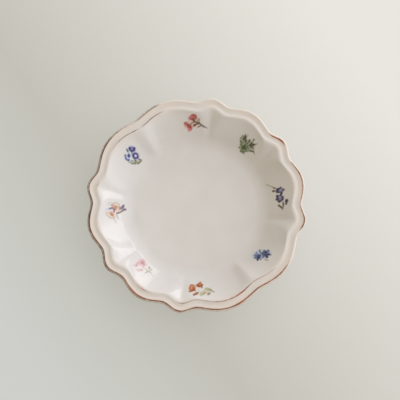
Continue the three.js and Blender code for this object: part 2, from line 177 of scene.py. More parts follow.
class PlateForm(bpy.types.PropertyGroup):
    """Sizes of the plate's section and of the wave round its rim"""

    rim_span: FloatProperty(
        name="Rim span",
        description="Across two opposite tips of the rim",
        default=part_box("face_glaze")[1].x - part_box("face_glaze")[0].x,
        unit="LENGTH",
        precision=5,
    )
    rim_wave: length("Rim wave", "How far the rim swings out and in about its mean circle", 2.4)
    panels: IntProperty(name="Panels", description="Flutes round the wall", default=8, min=2)
    lines_per_notch: IntProperty(
        name="Lines to a notch", description="Every so many lines is a notch, not a tip", default=4
    )
    tip_angle_rim: angle("Tip at the rim", "Half the width of a tip at the rim", 9.5)
    tip_angle_well: angle("Tip at the well", "Half the width of a tip at the foot of the wall", 4)
    lobe_lean: angle("Lobe lean", "How far a lobe beside a notch leans towards it", 4)
    tip_softening: share("Tip softening", "How late the wall's creases soften towards the rim", 4)
    crease_round: angle("Crease round", "How much a tip's crease on the wall is rounded", 0.7)
    rib_round: angle("Rib round", "How much a notch's rib on the wall is rounded", 2)
    rib_depth: length("Rib depth", "How far a notch's rib stands out of the wall", 1.8)
    rib_angle: angle("Rib angle", "Half the width of a notch's rib", 8)
    lobe_fullness: share("Lobe fullness", "Below 1 a lobe is fuller than a plain wave", 0.8)
    notch_fullness: share("Notch fullness", "The same low on the wall, beside a notch", 0.4)
    flute_set: length("Flute set", "How far outside the well the flutes begin", 4)
    flute_fade: share("Flute fade", "How fast the flutes deepen towards the rim", 1.25)
    notch_fade: share("Notch fade", "The same at a notch, whose rib reaches further down", 0.7)
    foot_height: length("Foot height", "Height of the foot ring", 2.5)
    foot_width: length("Foot width", "Width of the foot ring", 3.6)
    foot_set: length("Foot set", "How far the foot ring stands outside the well", 2)
    foot_bare: length("Bare foot", "Height of foot ring left without glaze", 0.8)
    floor_thick: length("Floor thickness", "Thickness of the well's floor", 4)
    wall_thick: length("Wall thickness", "Thickness of the wall", 4)
    well_radius: length("Well radius", "Radius of the flat floor of the well", 59)
    cove_radius: length("Cove radius", "Radius of the curve from the well into the wall", 22)
    wall_slope: angle("Wall slope", "Slope of the wall", 39.5)
    rim_width: length("Rim width", "From the ridge to the outside of the lip", 9.6)
    ridge_round: length("Ridge round", "Radius of the ridge between wall and rim", 3.6)
    groove_slope: angle("Groove slope", "Slope of the groove's two sides", 15)
    groove_hollow: share("Groove hollow", "How deep the groove sits between ridge and lip", 0.38)
    lip_rise: length("Lip rise", "How far the lip stands above the ridge", 0.2)
    lip_round: length("Lip round", "Radius of the lip", 2)
    glaze_thick: length("Glaze thickness", "Thickness of the coat of glaze", 0.4)
    glaze_gap: length("Glaze gap", "A hair between the glaze and the clay", 0.02)
    paint_thick: length("Paint thickness", "Thickness of the painted lines and sprigs", 0.04)
    paint_gap: length("Paint gap", "A hair between the paint and the glaze", 0.02)
    drawing_turn: angle("Drawing turn", "How far the plate is turned when the sprigs are upright", -35.4)
    square: length("Square", "One square of the paper that the sprigs are drawn on", 1)
    sheet: IntProperty(name="Sheet", description="Squares across a sprig's paper", default=30)
    weave: IntProperty(name="Weave", description="Cells of the mesh to a square", default=4)
    sprig_inset: length("Sprig inset", "From the ridge in to the circle of the sprigs", 14.5)
    lip_line: length("Lip line", "Width of the line on the lip where the brush pressed", 1.2)
    ridge_line: length("Ridge line", "Width of the line on the ridge where the brush pressed", 0.9)
    line_bleed: share("Line bleed", "Cover of the orange that ran out of the edge lines", 0.6)
    line_edge: length("Line edge", "How soft the side of an edge line is", 0.32)
    brush_spread: share("Brush spread", "How far paint runs past a mark's outline, in squares", 0.3)
    brush_grain: share("Brush grain", "How unevenly a mark covers", 0.35)
    brush_edge: share("Brush edge", "How soft the edge of a brush mark is, in squares", 0.45)
    columns: IntProperty(name="Columns", description="Steps round each panel", default=72, min=12)


class PlatePaints(bpy.types.PropertyGroup):
    """Colours of the clay, the glaze and the painter's palette"""

    clay: colour("Clay", "Bare fired clay", 206, 187, 162)
    glaze: colour("Glaze", "Warm white glaze", 231, 227, 225)
    thin_glaze: colour("Thin glaze", "Glaze that has run thin at the rim", 235, 223, 214)
    umber: colour("Umber", "Dark brown of the edge lines", 84, 58, 26)
    rust: colour("Rust", "Red brown of the edge lines", 148, 78, 20)
    rose: colour("Rose", "Coral red petals", 202, 98, 96)
    scarlet: colour("Scarlet", "Lit coral petals", 208, 94, 84)
    garnet: colour("Garnet", "Dark red petals", 158, 70, 62)
    pink: colour("Pink", "Pale coral petals", 222, 128, 138)
    salmon: colour("Salmon", "Orange pink petals", 232, 152, 128)
    chestnut: colour("Chestnut", "Red brown hearts and buds", 140, 68, 46)
    bark: colour("Bark", "Brown stems", 100, 74, 52)
    olive: colour("Olive", "Yellow green leaves", 152, 142, 100)
    moss: colour("Moss", "Dark green leaves", 80, 90, 42)
    leaf: colour("Leaf", "Mid green leaves", 134, 150, 104)
    peat: colour("Peat", "Nearly black green", 70, 66, 34)
    sage: colour("Sage", "Pale green leaves", 172, 176, 124)
    slate: colour("Slate", "Blue green leaves", 86, 100, 112)
    ink: colour("Ink", "Nearly black violet", 50, 46, 66)
    plum: colour("Plum", "Dark violet petals", 82, 66, 96)
    lilac: colour("Lilac", "Pale violet hearts", 166, 158, 216)
    indigo: colour("Indigo", "Blue violet petals", 62, 62, 136)
    periwinkle: colour("Periwinkle", "Pale blue violet", 146, 148, 214)
    cobalt: colour("Cobalt", "Blue petals", 68, 84, 136)
    navy: colour("Navy", "Dark blue hearts", 42, 46, 88)
    sky: colour("Sky", "Pale blue petals", 172, 192, 234)
    snow: colour("Snow", "White hearts", 222, 220, 250)
    sienna: colour("Sienna", "Orange brown petals", 158, 86, 42)
    amber: colour("Amber", "Orange petals", 206, 118, 58)
    apricot: colour("Apricot", "Pale orange petals", 230, 168, 130)
    tan: colour("Tan", "Light brown petals", 196, 146, 114)
    blush: colour("Blush", "Pale pink petals", 228, 162, 172)
    heather: colour("Heather", "Grey violet petals", 140, 108, 138)
    mauve: colour("Mauve", "Grey pink petals", 176, 130, 138)


class PlateStage(bpy.types.PropertyGroup):
    """The floor, the light and the camera, with angles as the sprigs are upright"""

    floor_size: length("Floor size", "Across the floor", 6000)
    floor_far: colour("Floor away", "Floor far from the window", 224, 226, 223)
    floor_dim: colour("Floor dim", "Floor where it is dimmest, beside the plate", 212, 211, 202)
    floor_near: colour("Floor near", "Floor towards the window", 252, 250, 243)
    floor_dim_stop: share("Floor dim stop", "Where it is dimmest between far and near", 0.35)
    floor_turn: angle("Floor turn", "Direction in which the floor gets lighter", 35)
    floor_fade: length("Floor fade", "How far from the middle the floor is at its lightest", 220)
    floor_glow: share("Floor glow", "How much of the floor's colour is free of shadow", 0.72)
    floor_level: share("Floor level", "How bright that share of it is", 0.84)
    backdrop: colour("Backdrop", "What the camera sees past the floor", 226, 224, 217)
    window_width: length("Window width", "Width of the window", 1500)
    window_height: length("Window height", "Height of the window", 460)
    window_away: length("Window distance", "From the plate to the window", 1520)
    window_turn: angle("Window turn", "Direction of the window", 38)
    window_rise: angle("Window rise", "How high the window's middle stands", 9)
    window_power: share("Window power", "Watts that the window gives", 3.8)
    room_turn: angle("Room turn", "Direction of the room's bright side", 26)
    room_rise: angle("Room rise", "How high the room's bright side stands", 10)
    room_bright: share_colour("Room bright", "Light from the bright side", 0.897, 0.913, 0.96)
    room_warm: share_colour("Room warm", "Light from near the dim side", 0.157, 0.107, 0)
    room_dim: share_colour("Room dim", "Light from the dim side", 0.075, 0.018, 0)
    room_warm_stop: share("Room warm stop", "Where the warm light lies between dim and bright", 0.14)
    room_level: share("Room level", "Strength of the room's light", 1.54)
    lens: share("Lens", "Focal length of the camera in millimetres", 108)
    sensor: share("Sensor", "Width of the camera's sensor in millimetres", 36)
    view_height: length("View height", "Height of the spot that the camera turns about", 28.64)
    view_tip: angle("View tip", "How far the camera leans back from straight above", 11.42)
    view_tilt: angle("View tilt", "How far the camera leans sideways", -2.16)
    view_right: length("View right", "How far the camera is moved to its right", 3.12)
    view_up: length("View up", "How far the camera is moved upwards", 3.48)
    view_away: length("View distance", "From the camera to the spot it turns about", 1156.8)


class Dab:
    """A touch of the brush: an oval on the squared paper, leaning by some degrees"""

    def __init__(self, paint, x, y, long, wide, lean=0, strength=1):
        self.paint = paint
        self.strength = strength
        self.spot = Vector((x, y))
        self.long = long
        self.wide = wide
        self.upright = Matrix.Rotation(-math.radians(lean), 2)

    def depth(self, spot):
        """How far a spot lies inside the mark, in squares."""
        away = self.upright @ (spot - self.spot)
        return (1 - math.hypot(away.x / self.long, away.y / self.wide)) * min(self.long, self.wide)


class Stroke:
    """A line that the brush is drawn along"""

    def __init__(self, paint, width, *points, strength=1):
        self.paint = paint
        self.strength = strength
        self.width = width
        self.points = [Vector(point) for point in points]

    def depth(self, spot):
        """How far a spot lies inside the mark, in squares."""
        nearest = math.inf
        for start, end in zip(self.points, self.points[1:]):
            part = intersect_point_line(spot, start, end)[1]
            foot = start.lerp(end, min(max(part, 0), 1))
            nearest = min(nearest, (spot - foot).length)
        return self.width / 2 - nearest


# The sprigs are drawn on squared paper about their own centres, x to the right and y up. The
# first number is the angle round the plate of that centre, and the second how many squares it
# lies outside the sprigs' circle.
SPRIGS = {
    "coral": (55.2, 3, (
        Dab("salmon", -4.8, -0.5, 3.8, 1.8, 15, 0.4),
        Dab("apricot", 4, -3, 3, 1.4, -25, 0.22),
        Dab("apricot", 2.6, 1.8, 2.2, 1.6, 30, 0.25),
        Dab("apricot", -1, -1.2, 1.8, 0.6, 0, 0.5),
        Dab("apricot", 0.8, 1.5, 0.9, 0.7, 30, 0.5),
        Dab("salmon", -2.6, -3.4, 1, 1.3, 0, 0.5),
        Dab("rose", -2.2, 3.9, 3.4, 2.1, 8, 0.85),
        Dab("pink", -4.4, 3.5, 1.4, 1.5, 0, 0.8),
        Dab("mauve", -6, 3, 0.8, 1.2, 0, 0.5),
        Dab("scarlet", -1, 4.5, 1.4, 1, 0, 0.9),
        Dab("garnet", -2, 5.8, 1.2, 0.5, 5, 0.7),
        Dab("garnet", 0.9, 3.8, 0.8, 1.2, 0, 0.7),
        Dab("garnet", -2.4, 2.3, 1.8, 0.7, -10, 0.8),
        Dab("chestnut", -1.5, 1.6, 1, 0.6, -30),
        Dab("rose", -8.9, -1.6, 1.6, 1.7, 0, 0.85),
        Dab("garnet", -10, -0.9, 0.8, 0.8, 0, 0.6),
        Dab("salmon", -8.4, -3.8, 1.9, 1.3, -20, 0.6),
        Dab("pink", -7.2, -1.4, 1.4, 1.1, 0, 0.5),
        Dab("rose", -5.4, -4, 2.2, 1.6, -25),
        Dab("rose", -4.4, -5.5, 1.8, 1.4, 30, 0.85),
        Dab("pink", -5.3, -6.8, 1.4, 1.1, 20, 0.65),
        Dab("pink", -6.4, -6, 0.8, 0.8, 0, 0.5),
        Dab("garnet", -6.6, -2.6, 1.6, 0.8, -30, 0.9),
        Dab("garnet", -5.2, -3.9, 1.2, 0.6, -20, 0.8),
        Dab("olive", 2.9, 1.4, 1.6, 0.9, 40, 0.6),
        Dab("olive", 4, 0.4, 0.5, 1.1, 10, 0.7),
        Stroke("bark", 0.7, (-1.6, 1.8), (-0.4, 0.2), (1.4, -0.4), (4, -1)),
        Stroke("bark", 0.7, (4, -1), (6.5, -2.8), (8.6, -3.9)),
        Stroke("bark", 0.5, (8.6, -3.9), (10.6, -4.6), strength=0.85),
        Stroke("mauve", 0.4, (10.6, -4.6), (12.4, -5.2), strength=0.7),
        Stroke("bark", 0.5, (-4.8, -2.6), (-3.4, -1.2), (-2, -0.2), (-0.6, 0.3), strength=0.8),
        Dab("chestnut", -0.4, -2.8, 1.3, 0.9, 25, 0.9),
        Stroke("bark", 0.7, (-0.6, -2.3), (1.2, -2.1), (4, -1.1)),
        Dab("bark", 4.2, -3.8, 1, 0.3, 25, 0.85),
    )),
    "green": (15.3, 0, (
        Dab("leaf", -3.8, 0.2, 3.6, 7.4, 0, 0.62),
        Dab("leaf", 0.4, -3, 4.6, 4.2, 0, 0.55),
        Dab("leaf", 0.6, 1.6, 2.4, 1.8, 0, 0.4),
        Dab("leaf", -4.4, -5.2, 2.8, 2.4, 0, 0.6),
        Dab("leaf", -5.8, -0.6, 1.1, 2, 0, 0.7),
        Dab("peat", -3.6, 5.1, 1.2, 0.8, 50),
        Dab("peat", -2.2, 6.1, 0.7, 1.3, -15),
        Dab("moss", -2.6, 7.7, 0.5, 0.9, -10, 0.6),
        Dab("moss", -0.2, 7.2, 0.3, 0.8, -5, 0.35),
        Dab("moss", -5, 7.3, 0.7, 0.5, -30, 0.7),
        Dab("moss", -6.7, 5.9, 0.7, 0.5, 20, 0.7),
        Dab("peat", -6.5, 3, 0.9, 0.5, -30, 0.8),
        Dab("moss", -5.9, 1.6, 0.4, 0.6, 0, 0.5),
        Dab("moss", -6.4, 0.2, 0.5, 0.7, 0, 0.6),
        Dab("peat", -2, 2.8, 0.7, 1, -20, 0.95),
        Dab("moss", -3.6, 3.6, 0.5, 0.5, 0, 0.5),
        Dab("peat", 1.6, 2.5, 0.7, 1, -15, 0.95),
        Dab("moss", 5.5, 2.5, 0.6, 1, -10, 0.85),
        Dab("moss", -0.8, 0.2, 0.5, 0.8, 30, 0.75),
        Dab("moss", 0.6, 0.9, 0.9, 0.3, 20, 0.4),
        Dab("moss", -3.4, -2.8, 1.9, 1.5, 20),
        Dab("peat", -4.2, -3, 0.8, 0.7, 0, 0.7),
        Dab("moss", -2.6, -1, 0.7, 0.9, 0, 0.95),
        Dab("moss", -1.9, -4.4, 0.8, 0.8, 0, 0.85),
        Dab("moss", 0.2, -2.5, 0.5, 0.8, 0, 0.85),
        Dab("peat", -7.9, -2.4, 0.7, 0.7, 0, 0.65),
        Dab("moss", -6.1, -5.9, 0.9, 0.6, 10, 0.7),
        Dab("moss", -6, -4.2, 0.5, 0.5, 0, 0.45),
        Dab("moss", -3.9, -7.1, 0.6, 1.1, 15, 0.8),
        Dab("moss", -1.3, -6.3, 0.7, 0.6, 0, 0.6),
        Dab("moss", 0.7, -5.8, 0.8, 0.5, 20, 0.6),
        Dab("moss", 1.6, -4, 0.7, 0.6, 0, 0.5),
        Dab("moss", -4.2, 1.4, 0.8, 0.6, 20, 0.5),
        Dab("moss", -0.4, -4, 0.7, 0.6, 0, 0.55),
        Dab("moss", -2.6, 4.6, 0.6, 0.5, 0, 0.6),
        Dab("moss", -5, -1.4, 0.6, 0.9, 20, 0.6),
        Dab("peat", 2.2, -1.3, 0.9, 0.7, -10),
        Dab("peat", 3.9, 0, 0.7, 1),
        Dab("peat", 5.4, -1.5, 1.1, 0.8),
        Dab("peat", 3.7, -2.9, 1, 0.8),
        Dab("peat", 3.9, -1.5, 1.2, 1.1, 0, 0.8),
        Dab("olive", 4, -1.5, 0.3, 0.3, 0, 0.5),
        Stroke("peat", 0.5, (6, -1.5), (7.6, -1.4), strength=0.8),
        Stroke("olive", 0.4, (7.6, -1.4), (9.2, -1.3), strength=0.6),
        Stroke("moss", 0.3, (5.6, -2.6), (7.4, -2.9), strength=0.4),
        Dab("peat", 5.2, -4.7, 0.9, 0.6, 50, 0.7),
        Stroke("peat", 0.8, (2.6, -6.7), (4.2, -7.2), (5.4, -7.7)),
        Stroke("peat", 0.4, (5.4, -7.6), (6.2, -8.8), (6.6, -9.9), strength=0.6),
        Stroke("olive", 0.5, (5.8, -5.4), (6.1, -7), strength=0.6),
    )),
    "violet": (-28.5, 2, (
        Stroke("olive", 0.5, (-12.4, 12.6), (-7.9, 10), (-4.4, 7.4), strength=0.6),
        Dab("bark", -5, 8.1, 1.2, 0.4, -25, 0.85),
        Stroke("bark", 0.8, (-6.8, 5.5), (-3.4, 5.2), strength=0.9),
        Dab("bark", -6.1, 5.4, 0.8, 0.8),
        Dab("plum", 0.2, 5.2, 2.8, 2.2, 0, 0.85),
        Dab("plum", -0.4, -2.8, 2.9, 3.3, 0, 0.92),
        Dab("lilac", 0.7, 5.3, 1.6, 1, -20, 0.85),
        Dab("lilac", -1.2, 5.1, 0.7, 0.8, 0, 0.5),
        Dab("lilac", -0.4, -1.6, 1, 1.2, 0, 0.9),
        Dab("lilac", 0.2, -3.9, 0.8, 0.9, 0, 0.35),
        Dab("ink", -2, 6.4, 1.3, 1.2, 30),
        Dab("plum", 0.3, 7.8, 0.6, 0.7),
        Dab("ink", 3.1, 5.3, 1, 0.9, 0, 0.75),
        Dab("ink", 1.2, 2.2, 0.8, 1.4, -10),
        Dab("ink", 0.5, 0.7, 0.8, 0.9, 0, 0.85),
        Dab("ink", -2.1, 3.6, 1.3, 0.6, -10),
        Dab("ink", -2.8, 4.9, 0.6, 0.8, 0, 0.7),
        Dab("ink", -2.8, -0.2, 0.9, 1.2),
        Dab("ink", -2, -2.6, 0.9, 0.9, 0, 0.8),
        Dab("ink", -3.3, -3.2, 0.9, 0.7, 20, 0.9),
        Dab("plum", 2.2, -2.8, 0.9, 1.8, 0, 0.9),
        Dab("ink", -0.9, -6, 0.9, 0.8, 20),
        Dab("ink", 1.2, -5, 1.2, 0.5, 35, 0.6),
        Dab("ink", 5.6, -6.1, 1.3, 1.5, 0, 0.95),
        Dab("ink", 5.3, -7.6, 0.6, 0.8, 10, 0.85),
        Dab("ink", 5.1, -8.9, 0.7, 1, 10, 0.85),
        Stroke("bark", 0.9, (2.4, -7.3), (2.6, -9.6), (2.4, -11.4)),
        Stroke("olive", 0.8, (2.5, -11.2), (2, -13), (1.6, -14.4), strength=0.75),
        Stroke("bark", 1.2, (-1.6, -9.5), (-0.2, -10.9), (1.1, -12.5)),
    )),
    "cobalt": (-72.5, -1, (
        Dab("sky", -0.2, 0.2, 8.8, 5, 8, 0.4),
        Dab("sky", -0.8, 0.4, 6, 3.4, 10, 0.5),
        Dab("cobalt", -4.2, -1.4, 2.9, 2.4, 0, 0.65),
        Dab("cobalt", 3.6, 0.8, 3.1, 2.9, 20, 0.7),
        Dab("slate", -0.6, 0, 1.4, 1.3, 0, 0.55),
        Dab("periwinkle", -5.6, -0.2, 1.8, 1.8, 0, 0.5),
        Dab("periwinkle", 4.6, 1.6, 1.4, 1.2, 0, 0.5),
        Dab("cobalt", 2, -0.8, 1.5, 1.2, 0, 0.6),
        Dab("slate", 1.6, 1.6, 1.3, 1.5, 0, 0.5),
        Stroke("slate", 0.9, (-2.1, 5.1), (-1.6, 3), (-1.4, 2.2), strength=0.85),
        Dab("cobalt", -5.1, 2.5, 0.7, 0.7, 0, 0.75),
        Dab("cobalt", -6.8, 0.1, 0.9, 0.6, 10, 0.5),
        Dab("cobalt", -6.4, -2.8, 1.1, 0.8, 10, 0.6),
        Dab("cobalt", -4.6, -1.1, 0.9, 0.7, -30, 0.85),
        Dab("cobalt", -3, -0.5, 1, 1, -30),
        Dab("navy", -2.5, -1.2, 0.9, 0.8, 0, 0.75),
        Dab("navy", -3.3, -2.8, 1.1, 1),
        Dab("ink", -4.4, -4.7, 0.8, 1.1),
        Dab("cobalt", -1.6, -4.5, 0.6, 0.8, 0, 0.75),
        Dab("cobalt", 0.6, -2.7, 0.9, 0.7, 0, 0.8),
        Dab("navy", 0.6, 1.3, 0.9, 0.8, -30, 0.8),
        Dab("cobalt", 2.1, 3.8, 0.8, 0.8, 0, 0.9),
        Dab("navy", 3.4, 2.1, 1, 1),
        Dab("plum", 5.8, 3.6, 0.8, 0.8, 0, 0.85),
        Dab("navy", 4.6, -0.4, 2, 0.9, 5),
        Dab("cobalt", 2.6, -1.2, 1, 0.6, 0, 0.9),
        Stroke("navy", 0.7, (6, -0.6), (7.8, -1), strength=0.85),
        Dab("ink", 4.3, -2.8, 1, 1.1),
        Stroke("bark", 1, (2.6, -5.3), (4.8, -6.3), strength=0.45),
    )),
    "orange": (-124, 0, (
        Dab("apricot", -6.6, 0, 4, 4.6, 0, 0.35),
        Dab("apricot", 0.6, 3.2, 4, 3, 20, 0.32),
        Dab("apricot", -3.4, -6.4, 3.2, 1.9, 25, 0.32),
        Dab("amber", -6.7, -0.3, 2.5, 3, 0, 0.8),
        Dab("apricot", -6.9, 0.9, 1.3, 1, 0, 0.8),
        Stroke("sienna", 0.7, (-8.9, -1.6), (-8.6, 0.8), (-7.6, 3.3), (-5.7, 3), (-4.2, 2), (-4, 0.2),
               strength=0.85),
        Stroke("apricot", 0.5, (-6.2, 1.9), (-4.9, 1.4), (-4.6, 0.2), strength=0.6),
        Dab("sienna", -5.6, 0.5, 0.7, 0.4, -30, 0.8),
        Dab("chestnut", -5, -0.8, 0.8, 0.7, 0, 0.9),
        Dab("scarlet", -6, -0.8, 0.6, 0.5, 0, 0.6),
        Dab("sienna", -6, -2.3, 1.5, 0.6, 10),
        Stroke("sienna", 0.8, (-9.6, -3.7), (-8.2, -3.8), (-6.2, -3.1), strength=0.9),
        Stroke("sienna", 0.6, (-4.4, -0.8), (-4.2, -2.4), (-3.6, -3.4), strength=0.75),
        Dab("sienna", 0.7, 2.9, 2.6, 1.7, 12, 0.9),
        Dab("amber", 1, 4, 1.5, 1.2, 20, 0.85),
        Dab("amber", 1.7, 5.4, 0.7, 0.9, -10, 0.6),
        Dab("sienna", 0.4, 1.9, 1.2, 0.7, 0, 0.9),
        Stroke("sienna", 0.9, (3.2, 3.5), (2.6, 1.2), (2.7, 0.4), strength=0.85),
        Stroke("bark", 0.6, (1.6, 6.5), (0.2, 5.1), (-1.8, 3.5), strength=0.6),
        Dab("chestnut", -1.9, 2.8, 0.8, 0.6, 20, 0.7),
        Stroke("sienna", 1.3, (-5.3, -7.4), (-1.5, -5.3), strength=0.9),
        Dab("bark", -2.2, -5.6, 0.9, 0.5, 25, 0.7),
        Stroke("bark", 0.4, (-5.2, -7.8), (-3, -6.8), strength=0.5),
        Dab("sage", 3.4, -6.1, 2.8, 1.3, 24, 0.7),
        Dab("sage", 2, -7.6, 1.4, 0.9, 0, 0.4),
        Dab("olive", 5.2, -5.2, 1.2, 0.4, 25, 0.6),
        Dab("olive", 0.9, -4.6, 0.9, 0.4, -15, 0.4),
        Dab("sage", 4.6, -3.2, 2, 1, 15, 0.45),
        Dab("sage", 8.8, -1.4, 3.1, 1.4, -14, 0.75),
        Dab("olive", 10.9, -1.9, 1.3, 0.6, -25, 0.5),
        Dab("olive", 7.8, -1, 1.3, 0.3, -14, 0.35),
        Dab("sage", 9.6, -3.4, 2.6, 1.1, -5, 0.35),
        Stroke("olive", 0.7, (11.6, -2.4), (12.8, -4.1), (14.6, -3.9), strength=0.7),
        Dab("olive", 9.3, -6, 1.3, 0.9, 20, 0.85),
        Dab("bark", 9, -6.3, 0.8, 0.5, 20, 0.35),
        Dab("mauve", 8.4, -7.7, 0.9, 0.5, 0, 0.3),
        Dab("apricot", 7.2, -5.1, 0.8, 0.5, 0, 0.85),
        Stroke("sage", 0.4, (-3.4, -1.2), (-1.8, -1.7), (0.4, -2.6), strength=0.4),
    )),
    "pink": (-166.3, -1.5, (
        Dab("blush", -0.8, 4.6, 4.2, 3.4, 0, 0.35),
        Dab("blush", -0.4, 6.8, 2.1, 1.6, 0, 0.4),
        Dab("blush", -3.6, 4, 2.3, 2, 0, 0.4),
        Dab("blush", 3.2, 2.8, 1.4, 1.2, 0, 0.3),
        Dab("blush", -6, 2, 2.6, 2.6, 0, 0.22),
        Dab("blush", -3, -1.4, 5, 4, 0, 0.13),
        Dab("blush", 0.6, 1.4, 3, 2.4, 0, 0.15),
        Dab("mauve", -0.5, 4.4, 2, 1.7, 0, 0.6),
        Dab("mauve", -0.4, 4, 0.8, 0.6, 0, 0.5),
        Dab("mauve", 1.1, 2, 0.8, 1, -20, 0.5),
        Dab("tan", 0.2, 0.4, 0.8, 0.9, 0, 0.35),
        Stroke("mauve", 0.5, (-5.2, 3.6), (-6.2, 1.9), (-6.6, 0.7), strength=0.5),
        Dab("bark", -6.4, 0.9, 1.1, 0.8, 20, 0.25),
        Dab("mauve", -9.2, 1.2, 0.8, 0.6, 0, 0.2),
        Stroke("mauve", 0.5, (-5.8, -3.6), (-4.4, -4.5), (-2.2, -4.2), (-0.4, -3.3), strength=0.4),
        Stroke("tan", 0.5, (-5.8, -3.6), (-3.6, -2.4), (-1.6, -2.6), (-0.4, -3.3), strength=0.4),
        Dab("tan", -2, -3.2, 1.3, 0.6, 10, 0.35),
        Stroke("tan", 0.4, (0.6, -0.6), (2, -1.8), (3.4, -2.4), strength=0.35),
        Dab("bark", 6, -0.4, 0.9, 0.9, 0, 0.5),
        Dab("slate", 5.9, 0.9, 0.3, 0.8, 0, 0.2),
        Dab("sage", 5.4, -3.8, 3.2, 1.1, 35, 0.3),
        Stroke("olive", 0.6, (8.2, -1.6), (6.2, -3.4), (3.8, -5), (1.6, -6.8), strength=0.26),
        Stroke("olive", 0.6, (3.3, -2.2), (4.6, -3.6), (7, -5), (9.4, -9), strength=0.26),
        Dab("olive", 3.3, -2.4, 0.8, 0.5, -30, 0.3),
        Dab("olive", 7.9, -2, 0.8, 0.5, 45, 0.28),
        Dab("olive", 3.6, -4.9, 0.9, 0.4, 35, 0.4),
        Dab("olive", 7, -4.9, 0.7, 0.5, -30, 0.4),
    )),
    "peach": (148.9, -1.5, (
        Dab("apricot", 0, 5.6, 3.6, 3, 0, 0.35),
        Dab("apricot", -0.4, 0.6, 2.4, 2.6, 0, 0.22),
        Dab("apricot", -4, -2.8, 3.8, 2.9, -10, 0.35),
        Dab("apricot", 2.6, 2, 1.6, 2, -10, 0.35),
        Dab("blush", -2.6, 0.9, 1.9, 1.2, 0, 0.3),
        Dab("blush", -2.4, 7, 1.4, 1.2, 0, 0.25),
        Dab("tan", -1.6, 5.4, 1.1, 1.4, 10, 0.65),
        Dab("tan", 1.9, 5.5, 1.4, 0.9, -10, 0.5),
        Dab("tan", 0.4, 4.5, 0.7, 1.3, 0, 0.9),
        Dab("bark", 0.5, 4.3, 0.4, 0.8, 0, 0.35),
        Dab("amber", -1.5, 4.4, 0.6, 0.5, 0, 0.35),
        Stroke("bark", 0.4, (-6.4, 6), (-5.8, 8.2), (-4.2, 9), strength=0.22),
        Stroke("bark", 0.4, (-4, 6.4), (-2.8, 7.8), (-0.4, 9.2), strength=0.2),
        Stroke("bark", 0.4, (-0.4, 9.2), (0.9, 9.5), (2.6, 9), (3.8, 8.2), strength=0.32),
        Stroke("tan", 0.4, (3.8, 8.2), (3.8, 6.4), strength=0.4),
        Dab("slate", -3.6, 6.1, 0.9, 0.4, 20, 0.25),
        Stroke("bark", 0.9, (4.4, 5.6), (4.3, 3.3), strength=0.6),
        Stroke("periwinkle", 1, (-4.6, 2.6), (-8.2, 1.3), strength=0.4),
        Stroke("slate", 1, (-3.2, 3.7), (-5.2, 2.6), strength=0.75),
        Stroke("indigo", 0.5, (-3.6, 3.2), (-5.6, 2.3), strength=0.4),
        Stroke("heather", 0.9, (-2.2, 3.4), (-0.8, 2), (-1.2, -0.4), strength=0.7),
        Dab("bark", -1.5, 2.9, 0.8, 0.5, -30, 0.6),
        Dab("bark", -0.7, 2, 0.5, 0.7, 0, 0.5),
        Dab("tan", -3.2, -2.8, 1.6, 1.3, -40, 0.85),
        Dab("sienna", -2.9, -3.1, 1, 0.6, -40, 0.5),
        Stroke("bark", 0.4, (-8.8, -1), (-8.2, -4), (-5.2, -6.2), strength=0.3),
        Stroke("bark", 0.5, (-5.6, -5.9), (-3.4, -6.8), (-1, -6.4), strength=0.35),
        Stroke("tan", 0.5, (-1, -6.4), (0, -4.6), strength=0.4),
        Dab("tan", -4.6, -1.4, 1.5, 0.7, 15, 0.4),
        Dab("tan", -1.8, -4.6, 0.8, 1, 20, 0.45),
        Dab("heather", 6.6, 4.4, 1.6, 1.2, 20, 0.5),
        Dab("plum", 7.4, 6.7, 0.9, 1.6, -28, 0.85),
        Dab("heather", 6.2, 5.2, 0.9, 1.3, -28, 0.9),
        Dab("plum", 9.1, 3.9, 1.2, 0.9, 10, 0.8),
        Dab("heather", 8, 3.1, 1.1, 0.4, 35, 0.6),
        Stroke("bark", 0.9, (1.6, -1.1), (4.3, 0.3), (6, 1.6), (7.2, 2.5), strength=0.85),
        Stroke("heather", 0.9, (1.4, -3.2), (2.2, -4.6), (2.7, -6), strength=0.42),
        Dab("heather", 1.4, -2.6, 0.8, 0.8, 0, 0.2),
        Stroke("heather", 0.6, (-0.8, -7.6), (-0.4, -8.6), (1, -10.3), strength=0.35),
    )),
    "blue": (105.6, -1, (
        Dab("sky", -5.2, -1.6, 3.4, 3.4, 0, 0.35),
        Dab("sky", -2.4, 3.4, 1.8, 2.5, -20, 0.35),
        Dab("periwinkle", 2.3, 0.8, 4, 3.7, 0, 0.32),
        Dab("periwinkle", -1, 6.2, 3.9, 3.1, 0, 0.32),
        Dab("leaf", 3.4, -4.9, 3.8, 1.9, 12, 0.42),
        Dab("leaf", 0.2, -5.8, 3, 1.4, 0, 0.35),
        Dab("indigo", -1, 6, 2.8, 2, 0, 0.95),
        Dab("periwinkle", -1.1, 6.4, 0.8, 1.4, 10, 0.85),
        Dab("navy", -3.1, 6.3, 0.8, 1.1, 25, 0.9),
        Dab("navy", 1.3, 6.8, 0.8, 1.2, -25, 0.85),
        Dab("navy", -1, 4.3, 0.8, 0.9, 0, 0.8),
        Stroke("slate", 0.5, (-1.1, 3.6), (-1.3, 2.6), strength=0.6),
        Dab("slate", -5.4, 4.3, 0.6, 1.3, 28),
        Dab("sky", -5.4, -2, 1.6, 1.5, 0, 0.6),
        Dab("indigo", -4, -0.2, 1.1, 1.4),
        Dab("slate", -3.8, 1.1, 0.6, 0.7, 0, 0.5),
        Dab("slate", -7.4, -0.6, 0.9, 0.8, 0, 0.85),
        Stroke("indigo", 1, (-7.2, -2.6), (-6.4, -3.8), (-4.8, -4.6), (-3.9, -4), strength=0.9),
        Dab("indigo", 2.4, 0.5, 2.9, 2.7, 0, 0.92),
